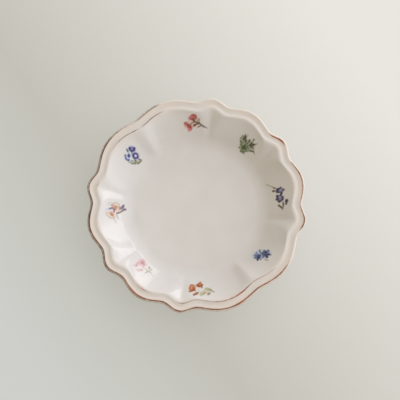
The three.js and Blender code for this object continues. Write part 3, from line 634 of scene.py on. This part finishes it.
        Dab("navy", 0.2, 0, 0.8, 1.6, 15, 0.5),
        Dab("plum", 3.3, 2.6, 1.2, 0.6, -20, 0.4),
        Dab("navy", 4.4, -0.7, 0.9, 0.9, 0, 0.45),
        Dab("periwinkle", 2.5, 0.5, 1.2, 1.1, 0, 0.75),
        Dab("snow", 2.6, 0.6, 0.7, 0.7, 0, 0.95),
        Dab("navy", 6.8, -2.4, 1, 0.5, -8, 0.8),
        Dab("slate", 5.6, -1.6, 0.5, 0.5, 0, 0.3),
        Stroke("slate", 0.8, (0.8, -1.8), (1.7, -2.8), (2.6, -4), strength=0.85),
        Stroke("moss", 0.6, (2.6, -4), (3.4, -4.8), (2.4, -6.4), strength=0.65),
        Stroke("olive", 0.8, (8.4, -3.2), (5.8, -5.2), (4.6, -6.4), strength=0.8),
        Stroke("moss", 0.5, (6.6, -4.6), (4.8, -6.2), strength=0.7),
        Stroke("slate", 0.9, (1.8, -6.6), (-0.4, -7), (-1.6, -6.9), strength=0.62),
        Stroke("slate", 0.7, (-0.6, -4), (-2.2, -5.2), (-4, -6.3), strength=0.5),
    )),
}

# How the two edge lines are painted, by the angle as the sprigs are upright. First the pressure
# of the brush: where it is 0 the paint has worn off.
LIP_PRESSURE = (
    (-180, 0.9), (-168, 1), (-150, 0.9), (-136, 0.8), (-126, 1), (-118, 0.9), (-100, 0.9), (-80, 0.9),
    (-66, 1.1), (-50, 0.8), (-36, 0.7), (-31, 0), (-16, 0), (-13, 0.9), (-4, 0.8), (0, 0.4),
    (4, 0.6), (10, 0.75), (14, 0.8), (23, 0.7), (26, 0), (33, 0), (36, 1), (42, 0.9), (45, 0),
    (83, 0), (85, 0.4), (87, 0), (108, 0), (112, 0.5), (122, 0.6), (126, 0.2), (131, 0.2), (138, 0.5),
    (146, 0.9), (180, 0.9),
)
RIDGE_PRESSURE = (
    (-180, 0), (-128, 0), (-122, 0.6), (-115, 0), (-104, 0), (-98, 0.7), (-90, 0.5), (-72, 0.7),
    (-64, 1.1), (-56, 0.6), (-42, 0.4), (-38, 0), (108, 0), (112, 0.8), (122, 0.8), (126, 0.2),
    (130, 0.8), (140, 0.7), (150, 0), (166, 0), (169, 0.6), (172, 0), (180, 0),
)
# How red the paint is
LINE_WARMTH = (
    (-180, 0.1), (-167, 0.15), (-162, 0.6), (-157, 0.2), (-140, 0.3), (-126, 0.9), (-118, 0.4),
    (-100, 0.4), (-72, 0.45), (-66, 1), (-60, 0.45), (-40, 0.7), (-13, 0.4), (0, 0.5), (8, 0.9),
    (14, 0.5), (23, 0.4), (34, 1), (43, 1), (85, 0), (112, 0.2), (140, 0.2), (180, 0.1),
)
# Cover of the painted shade on the lip's outside, a grey-brown wash outwards from the line that is
# heaviest on the side away from the window, of which the ridge has none
LIP_PAINTED_SHADE = (
    (-180, 0.5), (-160, 0.45), (-150, 0.55), (-135, 0.4), (-124, 0.3), (-112, 0.2), (-100, 0.15),
    (-60, 0.1), (-40, 0), (109, 0), (113, 0.45), (123, 0.4), (128, 0.1), (136, 0.35), (150, 0.45),
    (180, 0.5),
)
RIDGE_PAINTED_SHADE = ((-180, 0), (180, 0))
# How far outside the crest of the lip or ridge the line's middle is, in millimetres
LIP_STRAY = ((-180, 0.1), (28, 0.1), (34, -0.7), (44, -0.7), (50, 0.1), (180, 0.1))
RIDGE_STRAY = ((-180, 0.2), (180, 0.2))


def polar(centre, radius, turn):
    """A point of the section, on a circle about a centre."""
    return Vector((centre.x + radius * math.cos(turn), centre.y + radius * math.sin(turn)))


def arc(centre, radius, start, end, steps):
    """Points of the section along a circle, both ends among them."""
    return [polar(centre, radius, start + (end - start) * i / steps) for i in range(steps + 1)]


def line(start, end, steps):
    """Points of the section along a straight line, both ends among them."""
    return [start.lerp(end, i / steps) for i in range(steps + 1)]


def bend(points, steps):
    """Points along the smooth curve that a few control points give."""
    if len(points) == 1:
        return [points[0]] * (steps + 1)
    before = bend(points[:-1], steps)
    after = bend(points[1:], steps)
    return [before[i].lerp(after[i], i / steps) for i in range(steps + 1)]


def joined(*runs):
    """Runs of points, end to end, with each shared end kept once."""
    points = list(runs[0])
    for run in runs[1:]:
        points.extend(run[1:] if (run[0] - points[-1]).length < SAME_POINT else run)
    return points


class Section:
    """The plate's section, from its axis over the wall and lip to the foot."""

    def __init__(self, form):
        self.form = form
        slope = form.wall_slope
        self.floor = form.foot_height + form.floor_thick
        self.lip_reach = form.rim_span / 2 - form.rim_wave
        self.ridge_radius = self.lip_reach - form.rim_width
        self.cove = Vector((form.well_radius, self.floor + form.cove_radius))
        self.wall_foot = polar(self.cove, form.cove_radius, slope - RIGHT_ANGLE)
        reach = self.ridge_radius - form.ridge_round * math.sin(slope) - self.wall_foot.x
        self.wall_top = self.wall_foot + Vector((reach, reach * math.tan(slope)))
        self.ridge = polar(self.wall_top, form.ridge_round, slope - RIGHT_ANGLE)
        self.ridge_start = slope + RIGHT_ANGLE
        self.ridge_end = RIGHT_ANGLE - form.groove_slope
        crest = self.ridge.y + form.ridge_round + form.lip_rise
        self.lip = Vector((self.lip_reach - form.lip_round, crest - form.lip_round))
        self.lip_start = RIGHT_ANGLE + form.groove_slope

    def groove(self, steps):
        """The hollow between the ridge and the lip."""
        start = polar(self.ridge, self.form.ridge_round, self.ridge_end)
        end = polar(self.lip, self.form.lip_round, self.lip_start)
        pull = (end - start).length * self.form.groove_hollow
        fall = pull * Vector((math.cos(self.form.groove_slope), -math.sin(self.form.groove_slope)))
        rise = pull * Vector((math.cos(self.form.groove_slope), math.sin(self.form.groove_slope)))
        return bend([start, start + fall, end - rise, end], steps)

    def face(self):
        """The glazed face, from the axis to the outside of the lip."""
        form = self.form
        cove_end = form.wall_slope - RIGHT_ANGLE
        return joined(
            line(Vector((0, self.floor)), Vector((form.well_radius, self.floor)), WELL_STEPS),
            arc(self.cove, form.cove_radius, -RIGHT_ANGLE, cove_end, COVE_STEPS),
            line(self.wall_foot, self.wall_top, WALL_STEPS),
            arc(self.ridge, form.ridge_round, self.ridge_start, self.ridge_end, RIDGE_STEPS),
            self.groove(GROOVE_STEPS),
            arc(self.lip, form.lip_round, self.lip_start, 0, LIP_STEPS),
        )

    def back(self):
        """The glazed back, from the outside of the lip to the bare foot."""
        form = self.form
        under = polar(self.lip, form.lip_round, -RIGHT_ANGLE)
        away = form.wall_thick * Vector((math.sin(form.wall_slope), -math.cos(form.wall_slope)))
        top = self.wall_top + away
        foot = self.wall_foot + away
        drop = (foot.y - form.foot_height) / math.tan(form.wall_slope)
        corner = Vector((foot.x - drop, form.foot_height))
        seat = Vector((form.well_radius + form.foot_set, form.foot_height))
        neck = top.lerp(foot, NECK_END)
        heel = corner.lerp(seat, HEEL_END)
        return joined(
            arc(self.lip, form.lip_round, 0, -RIGHT_ANGLE, LIP_BACK_STEPS),
            bend([under, under.lerp(top, NECK_PULL), top, neck], NECK_STEPS),
            line(neck, foot, WALL_BACK_STEPS),
            bend([foot, corner, heel], HEEL_STEPS),
            line(heel, seat, FOOT_STEPS),
            line(seat, Vector((seat.x, form.foot_bare)), FOOT_STEPS),
        )

    def underside(self):
        """The glazed underside, from the bare foot's inner wall to the axis."""
        form = self.form
        inner = form.well_radius + form.foot_set - form.foot_width
        corner = Vector((inner, form.foot_height))
        return joined(
            line(Vector((inner, form.foot_bare)), corner, FOOT_STEPS),
            line(corner, Vector((0, form.foot_height)), WELL_STEPS),
        )


def set_in(points, depth):
    """The same run of points, set in by a depth to the right of its way along."""
    inner = []
    for i, point in enumerate(points):
        before = points[max(i - 1, 0)]
        after = points[min(i + 1, len(points) - 1)]
        way = (after - before).normalized()
        inner.append(point + depth * Vector((way.y, -way.x)))
    return inner


def rim_height(form, spread, turn):
    """The wave at an angle round the plate, from -1 in a hollow to 1 on a crest.

    Between two lines lies a lobe. A line is a tip, which is a narrow crest, or a notch.
    Low on the wall a tip is a sharp crease, and a notch a narrow rib.
    """
    step = FULL_TURN / form.panels
    number, along = line_before(form, turn)
    from_notch = number % form.lines_per_notch == 0
    to_notch = (number + 1) % form.lines_per_notch == 0
    softness = spread ** form.tip_softening
    tip = form.tip_angle_well + (form.tip_angle_rim - form.tip_angle_well) * softness
    if not from_notch and along < tip or not to_notch and along > step - tip:
        gap = min(along, step - along)
        rounded = math.hypot(gap, form.crease_round) - form.crease_round * gap / tip
        crease = 2 * max(1 - rounded / tip, 0) ** 2 - 1
        return crease + (-math.cos(math.pi * (1 - gap / tip)) - crease) * softness
    start = 0 if from_notch else tip
    end = step if to_notch else step - tip
    crest = step / 2 + (to_notch - from_notch) * form.lobe_lean
    climb = (along - start) / (crest - start) if along < crest else (end - along) / (end - crest)
    fullness = form.lobe_fullness
    if from_notch and along < crest or to_notch and along > crest:
        fullness = form.notch_fullness + (form.lobe_fullness - form.notch_fullness) * softness
        reach = crest if from_notch else step - crest
        away = max(climb, 0) * reach
        rounded = math.hypot(away, form.rib_round) - form.rib_round
        whole = math.hypot(reach, form.rib_round) - form.rib_round
        climb += (rounded / whole - climb) * (1 - softness)
    return -math.cos(math.pi * max(climb, 0) ** fullness)


def line_before(form, turn):
    """The number of the tip or notch line before an angle, and the angle from it."""
    step = FULL_TURN / form.panels
    along = (turn - RIGHT_ANGLE) % FULL_TURN
    number = int(along // step) % form.panels
    return number, along - number * step


def wave_shift(form, section, radius, turn):
    """How far the wave moves a point of the plain section outwards."""
    start = form.well_radius + form.flute_set
    reach = section.ridge_radius - start
    step = FULL_TURN / form.panels
    number, along = line_before(form, turn)
    away = step
    if number % form.lines_per_notch == 0:
        away = along
    if (number + 1) % form.lines_per_notch == 0:
        away = step - along
    near = (1 + math.cos(math.pi * min(2 * away / step, 1))) / 2
    fade = form.flute_fade + (form.notch_fade - form.flute_fade) * near
    climb = min(max((radius - start) / reach, 0), 1)
    spread = climb ** fade
    swell = (1 - climb ** RIB_TOP_FADE) * (1 - (1 - climb) ** RIB_FOOT_FADE)
    rib = form.rib_depth * swell * max(1 - (away / form.rib_angle) ** 2, 0) ** 2
    return form.rim_wave * spread * rim_height(form, spread, turn) - rib


def spun(form, points, closed):
    """A bmesh of the section's points spun about the plate's axis.

    One panel is spun, and the others are turned copies of it, merged at their shared edges.
    """
    made = bmesh.new()
    verts = [made.verts.new((point.x, 0, point.y)) for point in points]
    edges = [made.edges.new(pair) for pair in zip(verts, verts[1:])]
    if closed:
        edges.append(made.edges.new((verts[-1], verts[0])))
    panel_turn = FULL_TURN / form.panels
    bmesh.ops.spin(
        made, geom=verts + edges, cent=(0, 0, 0), axis=(0, 0, 1), angle=panel_turn,
        steps=form.columns, use_duplicate=False,
    )
    panel = made.verts[:] + made.edges[:] + made.faces[:]
    for number in range(1, form.panels):
        copy = bmesh.ops.duplicate(made, geom=panel)["geom"]
        turned = [part for part in copy if isinstance(part, bmesh.types.BMVert)]
        turning = Matrix.Rotation(number * panel_turn, 3, "Z")
        bmesh.ops.rotate(made, verts=turned, cent=(0, 0, 0), matrix=turning)
    bmesh.ops.remove_doubles(made, verts=made.verts, dist=MERGE_DISTANCE)
    return made


def waved(form, section, made):
    """Put the rim's wave into a spun shape."""
    for vert in made.verts:
        radius = math.hypot(vert.co.x, vert.co.y)
        if radius > form.well_radius:
            turn = math.atan2(vert.co.y, vert.co.x)
            grown = 1 + wave_shift(form, section, radius, turn) / radius
            vert.co.x *= grown
            vert.co.y *= grown


def finished(made, name, node, material):
    """Make the shape a piece of the plate, in place of its CAD node."""
    bmesh.ops.recalc_face_normals(made, faces=made.faces)
    for face in made.faces:
        face.smooth = True
    mesh = bpy.data.meshes.new(name)
    made.to_mesh(mesh)
    made.free()
    mesh.set_sharp_from_angle(angle=SHARP_ANGLE)
    mesh.materials.append(material)
    piece = bpy.data.objects.new(name, mesh)
    bpy.context.scene.collection.objects.link(piece)
    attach(piece, "root")
    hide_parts(node)


def smooth_step(depth, edge):
    """0 outside a mark, 1 inside it, and a soft change across its edge."""
    across = min(max(0.5 + depth / (2 * edge), 0), 1)
    return across * across * (3 - 2 * across)


def stop_value(stops, turn):
    """The value between the two stops of a list on either side of an angle."""
    degrees = (math.degrees(turn) + 180) % 360 - 180
    for (before, low), (after, high) in zip(stops, stops[1:]):
        if before <= degrees <= after:
            return low + (high - low) * (degrees - before) / (after - before)
    raise ValueError("the stops leave a gap round the plate")


def layered(coats):
    """Coats of paint, one over the other: their colour's share, and their cover."""
    whole = Vector((0, 0, 0, 0))
    for tone, cover in coats:
        if cover > 0:
            whole = whole.lerp(Vector((*tone, 1)), min(cover, 1))
    return whole


def edge_line(form, paints, section, strip):
    """A bmesh of a painted line on the lip or the ridge, with its paint as an attribute.

    Where the brush pressed less, the strip shows the glaze's own colour.
    """
    inner = set_in(strip["run"], -form.paint_gap)
    outer = set_in(strip["run"], -form.paint_gap - form.paint_thick)
    made = spun(form, outer + inner[::-1], closed=True)
    layer = made.verts.layers.float_color.new("paint")
    for vert in made.verts:
        turn = math.atan2(vert.co.y, vert.co.x)
        outwards = vert.co.xy.length - strip["crest"]
        vert[layer] = line_paint(form, paints, strip, turn - form.drawing_turn, outwards)
    waved(form, section, made)
    return made


def line_paint(form, paints, strip, drawn, outwards):
    """Paint of an edge line at an angle, some way outside the crest that it follows."""
    around = Vector((math.cos(drawn), math.sin(drawn), strip["crest"] / MM))
    slow = noise.noise(around * SLOW_SWAY) * SLOW_SWAY_SHARE
    sway = slow + noise.noise(around * QUICK_SWAY) * QUICK_SWAY_SHARE
    grain = noise.noise(around * LINE_GRAIN + Vector((0, 0, outwards / MM)))
    soft = form.line_edge
    wide = 2 * soft
    press = stop_value(strip["pressure"], drawn)
    warmth = stop_value(LINE_WARMTH, drawn)
    away = outwards - stop_value(strip["stray"], drawn) * MM - sway * soft
    inside = strip["width"] / 2 * press * (1 + sway) - abs(away)
    # Painted shade: a grey-brown wash of umber outwards from the line, heaviest on the side away from
    # the window
    painted_shade = stop_value(strip["painted_shade"], drawn) * smooth_step(away, wide) * (1 + grain)
    bleed = form.line_bleed * min(press, 1) * warmth * smooth_step(inside + wide, wide) * (1 + grain)
    cover = smooth_step(inside, soft) * min(press * (LINE_COVER + grain * LINE_GRAIN_COVER), 1)
    fleck = 1 - max(noise.noise(around * LINE_FLECK), 0)
    tone = Vector(paints.umber).lerp(Vector(paints.rust), warmth) * fleck
    return layered(((paints.umber, painted_shade), (paints.amber, bleed), (tone, cover)))


def painted(form, paints, marks, spot):
    """Paint at a spot of the paper."""
    coats = []
    grain = 1 + form.brush_grain * noise.noise(spot.to_3d())
    for mark in marks:
        inside = smooth_step(mark.depth(spot) + form.brush_spread, form.brush_edge)
        coats.append((getattr(paints, mark.paint), min(mark.strength * grain, 1) * inside))
    return layered(coats)


def sprig_sheet(form, paints, section, drawing):
    """A bmesh of a sprig's paper, cut to what is painted on it and laid on the wall."""
    place_turn, outside, marks = drawing
    made = bmesh.new()
    cells = form.sheet * form.weave
    bmesh.ops.create_grid(made, x_segments=cells, y_segments=cells, size=form.sheet / 2)
    layer = made.verts.layers.float_color.new("paint")
    for vert in made.verts:
        vert[layer] = painted(form, paints, marks, vert.co.xy)
    bare = [face for face in made.faces if max(vert[layer][3] for vert in face.verts) < BARE_COVER]
    bmesh.ops.delete(made, geom=bare, context="FACES")

    reach = section.ridge_radius - form.sprig_inset + outside * form.square
    place = (
        Matrix.Rotation(math.radians(place_turn), 4, "Z")
        @ Matrix.Translation((reach, 0, 0))
        @ Matrix.Rotation(form.drawing_turn - math.radians(place_turn), 4, "Z")
        @ Matrix.Scale(form.square, 4)
    )
    bmesh.ops.transform(made, matrix=place, verts=made.verts)
    outline = section.face()
    radii = [point.x for point in outline]
    for vert in made.verts:
        vert.co.z = face_height(form, section, outline, radii, vert.co) + form.paint_gap
    top = bmesh.ops.extrude_face_region(made, geom=made.faces[:], use_keep_orig=True)["geom"]
    raised = [part for part in top if isinstance(part, bmesh.types.BMVert)]
    bmesh.ops.translate(made, verts=raised, vec=(0, 0, form.paint_thick))
    return made


def face_height(form, section, outline, radii, spot):
    """Height of the waved face above a spot of the plan."""
    turn = math.atan2(spot.y, spot.x)
    radius = spot.xy.length
    plain = radius
    for _ in range(DRAPE_ROUNDS):
        plain = radius - wave_shift(form, section, plain, turn)
    after = bisect.bisect(radii, plain)
    inner = outline[after - 1]
    outer = outline[after]
    return inner.y + (outer.y - inner.y) * (plain - inner.x) / (outer.x - inner.x)


def new_node(tree, kind, **settings):
    """A new shader node with some of its settings made."""
    made = tree.nodes.new(kind)
    for name, value in settings.items():
        setattr(made, name, value)
    return made


def feed(tree, socket, source):
    """Feed a socket from another node's output, or set its value."""
    if isinstance(source, bpy.types.NodeSocket):
        tree.links.new(source, socket)
    else:
        socket.default_value = source


def fed(tree, kind, *sources, **settings):
    """A new shader node whose first inputs are fed by values or by other nodes' outputs."""
    made = new_node(tree, kind, **settings)
    for socket, source in zip(made.inputs, sources):
        feed(tree, socket, source)
    return made


def blended(tree, factor, first, second, way="MIX"):
    """The colour that a mix of two colours gives."""
    made = new_node(tree, "ShaderNodeMix", data_type="RGBA", blend_type=way)
    colours = [socket for socket in made.inputs if socket.type == "RGBA"]
    for socket, source in zip((made.inputs[0], *colours), (factor, first, second)):
        feed(tree, socket, source)
    return next(socket for socket in made.outputs if socket.type == "RGBA")


def noise_value(tree, place, scale, detail):
    """A cloudy value between 0 and 1."""
    made = new_node(tree, "ShaderNodeTexNoise")
    feed(tree, made.inputs["Vector"], place)
    feed(tree, made.inputs["Scale"], scale)
    feed(tree, made.inputs["Detail"], detail)
    return made.outputs[0]


def ranged(tree, value, low, high, to_low, to_high):
    """A value carried from one range to another, and held there."""
    return fed(tree, "ShaderNodeMapRange", value, low, high, to_low, to_high).outputs[0]


def shaded(tree, ground, cloud, pattern):
    """A ground colour made lighter and darker by a pattern's cloudy value."""
    tone = ranged(tree, cloud, pattern.low, pattern.high, pattern.low_tone, pattern.high_tone)
    return blended(tree, 1, ground, tone, "MULTIPLY")


def ramped(tree, value, *stops):
    """The colour that a value from 0 to 1 picks from a run of stops."""
    made = fed(tree, "ShaderNodeValToRGB", value)
    elements = made.color_ramp.elements
    elements.remove(elements[1])
    for place, tone in stops:
        elements.new(place).color = (*tone, 1)
    elements.remove(elements[0])
    return made.outputs["Color"]


def new_material(name, roughness):
    """A node material, its tree and its shader."""
    material = bpy.data.materials.new(name)
    material.use_nodes = True
    shader = material.node_tree.nodes["Principled BSDF"]
    shader.inputs["Roughness"].default_value = roughness
    return material, material.node_tree, shader


def bumped(tree, shader, height, strength, distance):
    """Give a shader bumps of some height."""
    bump = new_node(tree, "ShaderNodeBump")
    feed(tree, bump.inputs["Strength"], strength)
    feed(tree, bump.inputs["Distance"], distance)
    feed(tree, bump.inputs["Height"], height)
    feed(tree, shader.inputs["Normal"], bump.outputs["Normal"])


def glaze_skin(form, paints):
    """Node group for what all glazed surfaces share: the glaze's colour and its slight swells."""
    tree = bpy.data.node_groups.new("glaze_skin", "ShaderNodeTree")
    tree.interface.new_socket("Colour", in_out="OUTPUT", socket_type="NodeSocketColor")
    tree.interface.new_socket("Height", in_out="OUTPUT", socket_type="NodeSocketFloat")
    place = new_node(tree, "ShaderNodeTexCoord").outputs["Object"]
    level = fed(tree, "ShaderNodeVectorMath", place, (1, 1, 0), operation="MULTIPLY").outputs[0]
    radius = fed(tree, "ShaderNodeVectorMath", level, operation="LENGTH").outputs["Value"]
    ridge = Section(form).ridge_radius
    thin = ranged(tree, radius, ridge + THIN_START, ridge + THIN_END, 0, THIN_SHARE)
    tone = blended(tree, thin, (*paints.glaze, 1), (*paints.thin_glaze, 1))
    for pattern in (GLAZE_CLOUDS, GLAZE_SPECKS):
        cloud = noise_value(tree, place, pattern.scale, pattern.detail)
        tone = shaded(tree, tone, cloud, pattern)
    ends = new_node(tree, "NodeGroupOutput")
    feed(tree, ends.inputs["Colour"], tone)
    feed(tree, ends.inputs["Height"], noise_value(tree, place, SWELL_SCALE, SWELL_DETAIL))
    return tree


def skinned(name, roughness, skin):
    """A glossy material on the shared skin, with the skin's swells and its colour to go on from."""
    material, tree, shader = new_material(name, roughness)
    surface = new_node(tree, "ShaderNodeGroup", node_tree=skin)
    bumped(tree, shader, surface.outputs["Height"], SWELL_STRENGTH, SWELL_HEIGHT)
    return material, tree, shader, surface.outputs["Colour"]


def glaze_material(skin):
    """The bare glaze."""
    material, tree, shader, ground = skinned("plate_glaze", GLAZE_ROUGHNESS, skin)
    feed(tree, shader.inputs["Base Color"], ground)
    return material


def paint_material(skin, name):
    """Paint under the gloss, which lets the glaze show where it is thin."""
    material, tree, shader, ground = skinned(name, PAINT_ROUGHNESS, skin)
    paint = new_node(tree, "ShaderNodeAttribute", attribute_name="paint")
    left = blended(tree, paint.outputs["Alpha"], ground, (0, 0, 0, 1))
    whole = blended(tree, 1, left, paint.outputs["Color"], "ADD")
    feed(tree, shader.inputs["Base Color"], whole)
    return material


def clay_material(paints):
    """Bare fired clay with a fine grain."""
    material, tree, shader = new_material("plate_clay", CLAY_ROUGHNESS)
    place = new_node(tree, "ShaderNodeTexCoord").outputs["Object"]
    grain = noise_value(tree, place, CLAY_GRAIN.scale, CLAY_GRAIN.detail)
    feed(tree, shader.inputs["Base Color"], shaded(tree, (*paints.clay, 1), grain, CLAY_GRAIN))
    bumped(tree, shader, grain, GRAIN_STRENGTH, GRAIN_HEIGHT)
    return material


def shared_skin(form, paints):
    """The glaze's node group, made once."""
    return bpy.data.node_groups.get("glaze_skin") or glaze_skin(form, paints)


class PLATE_OT_body(bpy.types.Operator):
    """Model the clay body and the three coats of glaze on it"""

    bl_idname = "plate.body"
    bl_label = "Body and glaze"

    def execute(self, context):
        form = context.scene.plate_form
        paints = context.scene.plate_paints
        section = Section(form)
        glaze = glaze_material(shared_skin(form, paints))
        coats = (
            ("face_glaze", section.face()),
            ("back_glaze", section.back()),
            ("underside_glaze", section.underside()),
        )
        for name, outer in coats:
            inner = set_in(outer, form.glaze_thick)
            made = spun(form, outer + inner[::-1], closed=outer[0].x > 0 and outer[-1].x > 0)
            waved(form, section, made)
            finished(made, name + ".smooth", name, glaze)
        depth = form.glaze_thick + form.glaze_gap
        foot = form.well_radius + form.foot_set
        body = joined(
            set_in(joined(section.face(), section.back()), depth),
            [Vector((foot - depth, 0)), Vector((foot - form.foot_width + depth, 0))],
            set_in(section.underside(), depth),
        )
        made = spun(form, body, closed=False)
        waved(form, section, made)
        finished(made, "clay_body.smooth", "clay_body", clay_material(paints))
        return {"FINISHED"}


class PLATE_OT_lines(bpy.types.Operator):
    """Paint the worn brown lines along the lip and the ridge"""

    bl_idname = "plate.lines"
    bl_label = "Edge lines"

    def execute(self, context):
        form = context.scene.plate_form
        paints = context.scene.plate_paints
        section = Section(form)
        paint = paint_material(shared_skin(form, paints), "edge_paint")
        groove = section.groove(LINE_GROOVE_STEPS)
        lip = arc(section.lip, form.lip_round, section.lip_start, 0, LINE_ROUND_STEPS)
        ridge = arc(
            section.ridge, form.ridge_round, LINE_RIDGE_START, section.ridge_end, LINE_ROUND_STEPS
        )
        strips = {
            "lip_line": {
                "run": joined(groove[LINE_GROOVE_STEPS // 2:], lip),
                "crest": section.lip.x,
                "width": form.lip_line,
                "pressure": LIP_PRESSURE,
                "stray": LIP_STRAY,
                # The lip's painted shade, a grey-brown wash on its outside
                "painted_shade": LIP_PAINTED_SHADE,
            },
            "ridge_line": {
                "run": joined(ridge, groove[:LINE_GROOVE_STEPS // 4 + 1]),
                "crest": section.ridge.x,
                "width": form.ridge_line,
                "pressure": RIDGE_PRESSURE,
                "stray": RIDGE_STRAY,
                "painted_shade": RIDGE_PAINTED_SHADE,
            },
        }
        for name, strip in strips.items():
            made = edge_line(form, paints, section, strip)
            finished(made, name + ".painted", name, paint)
        return {"FINISHED"}


class PLATE_OT_sprigs(bpy.types.Operator):
    """Paint the eight flower sprigs on the wall"""

    bl_idname = "plate.sprigs"
    bl_label = "Flower sprigs"

    def execute(self, context):
        form = context.scene.plate_form
        paints = context.scene.plate_paints
        section = Section(form)
        enamel = paint_material(shared_skin(form, paints), "sprig_enamel")
        for name, drawing in SPRIGS.items():
            made = sprig_sheet(form, paints, section, drawing)
            finished(made, f"sprig_{name}.painted", f"sprig_{name}", enamel)
        return {"FINISHED"}


def aimed(turn, rise):
    """A direction by its angle round the plate and its angle above the table."""
    level = math.cos(rise)
    return Vector((math.cos(turn) * level, math.sin(turn) * level, math.sin(rise)))


def seen_share(tree):
    """1 for what is seen, straight or in a gloss or glass, and 0 for what only gives light."""
    path = new_node(tree, "ShaderNodeLightPath")
    seen = path.outputs["Is Camera Ray"]
    for way in ("Is Glossy Ray", "Is Transmission Ray"):
        seen = fed(tree, "ShaderNodeMath", seen, path.outputs[way], operation="MAXIMUM").outputs[0]
    return seen


def towards(tree, place, way):
    """How far a place or direction lies along a way."""
    return fed(tree, "ShaderNodeVectorMath", place, way, operation="DOT_PRODUCT").outputs["Value"]


def lay_floor(scene, stage, turn):
    """A pale floor, a little lighter towards the window."""
    made = bmesh.new()
    bmesh.ops.create_grid(made, x_segments=1, y_segments=1, size=stage.floor_size / 2)
    mesh = bpy.data.meshes.new("floor")
    made.to_mesh(mesh)
    made.free()
    floor = bpy.data.objects.new("floor", mesh)
    scene.collection.objects.link(floor)
    material, tree, shader = new_material("pale_floor", FLOOR_ROUGHNESS)
    place = new_node(tree, "ShaderNodeTexCoord").outputs["Object"]
    reach = towards(tree, place, aimed(turn + stage.floor_turn, 0))
    nearness = ranged(tree, reach, -stage.floor_fade, stage.floor_fade, 0, 1)
    dim = (stage.floor_dim_stop, stage.floor_dim)
    tone = ramped(tree, nearness, (0, stage.floor_far), dim, (1, stage.floor_near))
    feed(tree, shader.inputs["Base Color"], tone)
    glow = fed(tree, "ShaderNodeEmission", tone, stage.floor_level).outputs[0]
    seen = seen_share(tree)
    glow_share = fed(tree, "ShaderNodeMath", seen, stage.floor_glow, operation="MULTIPLY").outputs[0]
    whole = fed(tree, "ShaderNodeMixShader", glow_share, shader.outputs[0], glow).outputs[0]
    feed(tree, tree.nodes["Material Output"].inputs["Surface"], whole)
    mesh.materials.append(material)


def hang_window(scene, stage, turn):
    """A broad window low beside the plate, which its glaze reflects."""
    light = bpy.data.lights.new("window", "AREA")
    light.shape = "RECTANGLE"
    light.size = stage.window_width
    light.size_y = stage.window_height
    light.energy = stage.window_power
    lamp = bpy.data.objects.new("window", light)
    spot = aimed(turn + stage.window_turn, stage.window_rise) * stage.window_away
    lamp.location = spot
    lamp.rotation_mode = "QUATERNION"
    lamp.rotation_quaternion = (-spot).to_track_quat("-Z", "Y")
    scene.collection.objects.link(lamp)


def light_room(scene, stage, turn):
    """A soft room, brighter and cooler towards the window, plain and pale where it is seen."""
    world = bpy.data.worlds.new("soft_room")
    world.use_nodes = True
    tree = world.node_tree
    place = new_node(tree, "ShaderNodeTexCoord").outputs["Generated"]
    reach = towards(tree, place, aimed(turn + stage.room_turn, stage.room_rise))
    nearness = ranged(tree, reach, -1, 1, 0, 1)
    warm = (stage.room_warm_stop, stage.room_warm)
    tone = ramped(tree, nearness, (0, stage.room_dim), warm, (1, stage.room_bright))
    light = tree.nodes["Background"]
    feed(tree, light.inputs["Color"], tone)
    feed(tree, light.inputs["Strength"], stage.room_level)
    backdrop = fed(tree, "ShaderNodeBackground", (*stage.backdrop, 1), 1).outputs[0]
    seen = seen_share(tree)
    whole = fed(tree, "ShaderNodeMixShader", seen, light.outputs[0], backdrop).outputs[0]
    feed(tree, tree.nodes["World Output"].inputs["Surface"], whole)
    scene.world = world


def place_camera(scene, stage, turn):
    """The camera, looking down on the plate as the photograph does."""
    camera = bpy.data.cameras.new("camera")
    camera.lens = stage.lens
    camera.sensor_width = stage.sensor
    eye = bpy.data.objects.new("camera", camera)
    eye.matrix_world = (
        Matrix.Translation((0, 0, stage.view_height))
        @ Matrix.Rotation(turn, 4, "Z")
        @ Matrix.Rotation(stage.view_tip, 4, "X")
        @ Matrix.Rotation(stage.view_tilt, 4, "Y")
        @ Matrix.Translation((stage.view_right, stage.view_up, stage.view_away))
    )
    scene.collection.objects.link(eye)
    scene.camera = eye


class PLATE_OT_stage(bpy.types.Operator):
    """Set up the pale floor, the soft light and the camera"""

    bl_idname = "plate.stage"
    bl_label = "Stage"

    def execute(self, context):
        scene = context.scene
        stage = scene.plate_stage
        turn = scene.plate_form.drawing_turn
        lay_floor(scene, stage, turn)
        hang_window(scene, stage, turn)
        light_room(scene, stage, turn)
        place_camera(scene, stage, turn)
        scene.view_settings.view_transform = "Standard"
        return {"FINISHED"}


class PLATE_PT_panel(bpy.types.Panel):
    """The plate's pieces, in the order they are made"""

    bl_idname = "PLATE_PT_panel"
    bl_label = "Dessert plate"
    bl_space_type = "VIEW_3D"
    bl_region_type = "UI"
    bl_category = "Plate"

    def draw(self, context):
        for operator in OPERATORS:
            self.layout.operator(operator.bl_idname)


GROUPS = {"plate_form": PlateForm, "plate_paints": PlatePaints, "plate_stage": PlateStage}
OPERATORS = (PLATE_OT_body, PLATE_OT_lines, PLATE_OT_sprigs, PLATE_OT_stage)
CLASSES = (*GROUPS.values(), *OPERATORS, PLATE_PT_panel)


def register():
    for cls in CLASSES:
        bpy.utils.register_class(cls)
    for name, group in GROUPS.items():
        setattr(bpy.types.Scene, name, PointerProperty(type=group))


def unregister():
    for name in GROUPS:
        delattr(bpy.types.Scene, name)
    for cls in reversed(CLASSES):
        bpy.utils.unregister_class(cls)


def main():
    register()
    bpy.ops.plate.body()
    bpy.ops.plate.lines()
    bpy.ops.plate.sprigs()
    bpy.ops.plate.stage()


if __name__ == "__main__":
    main()
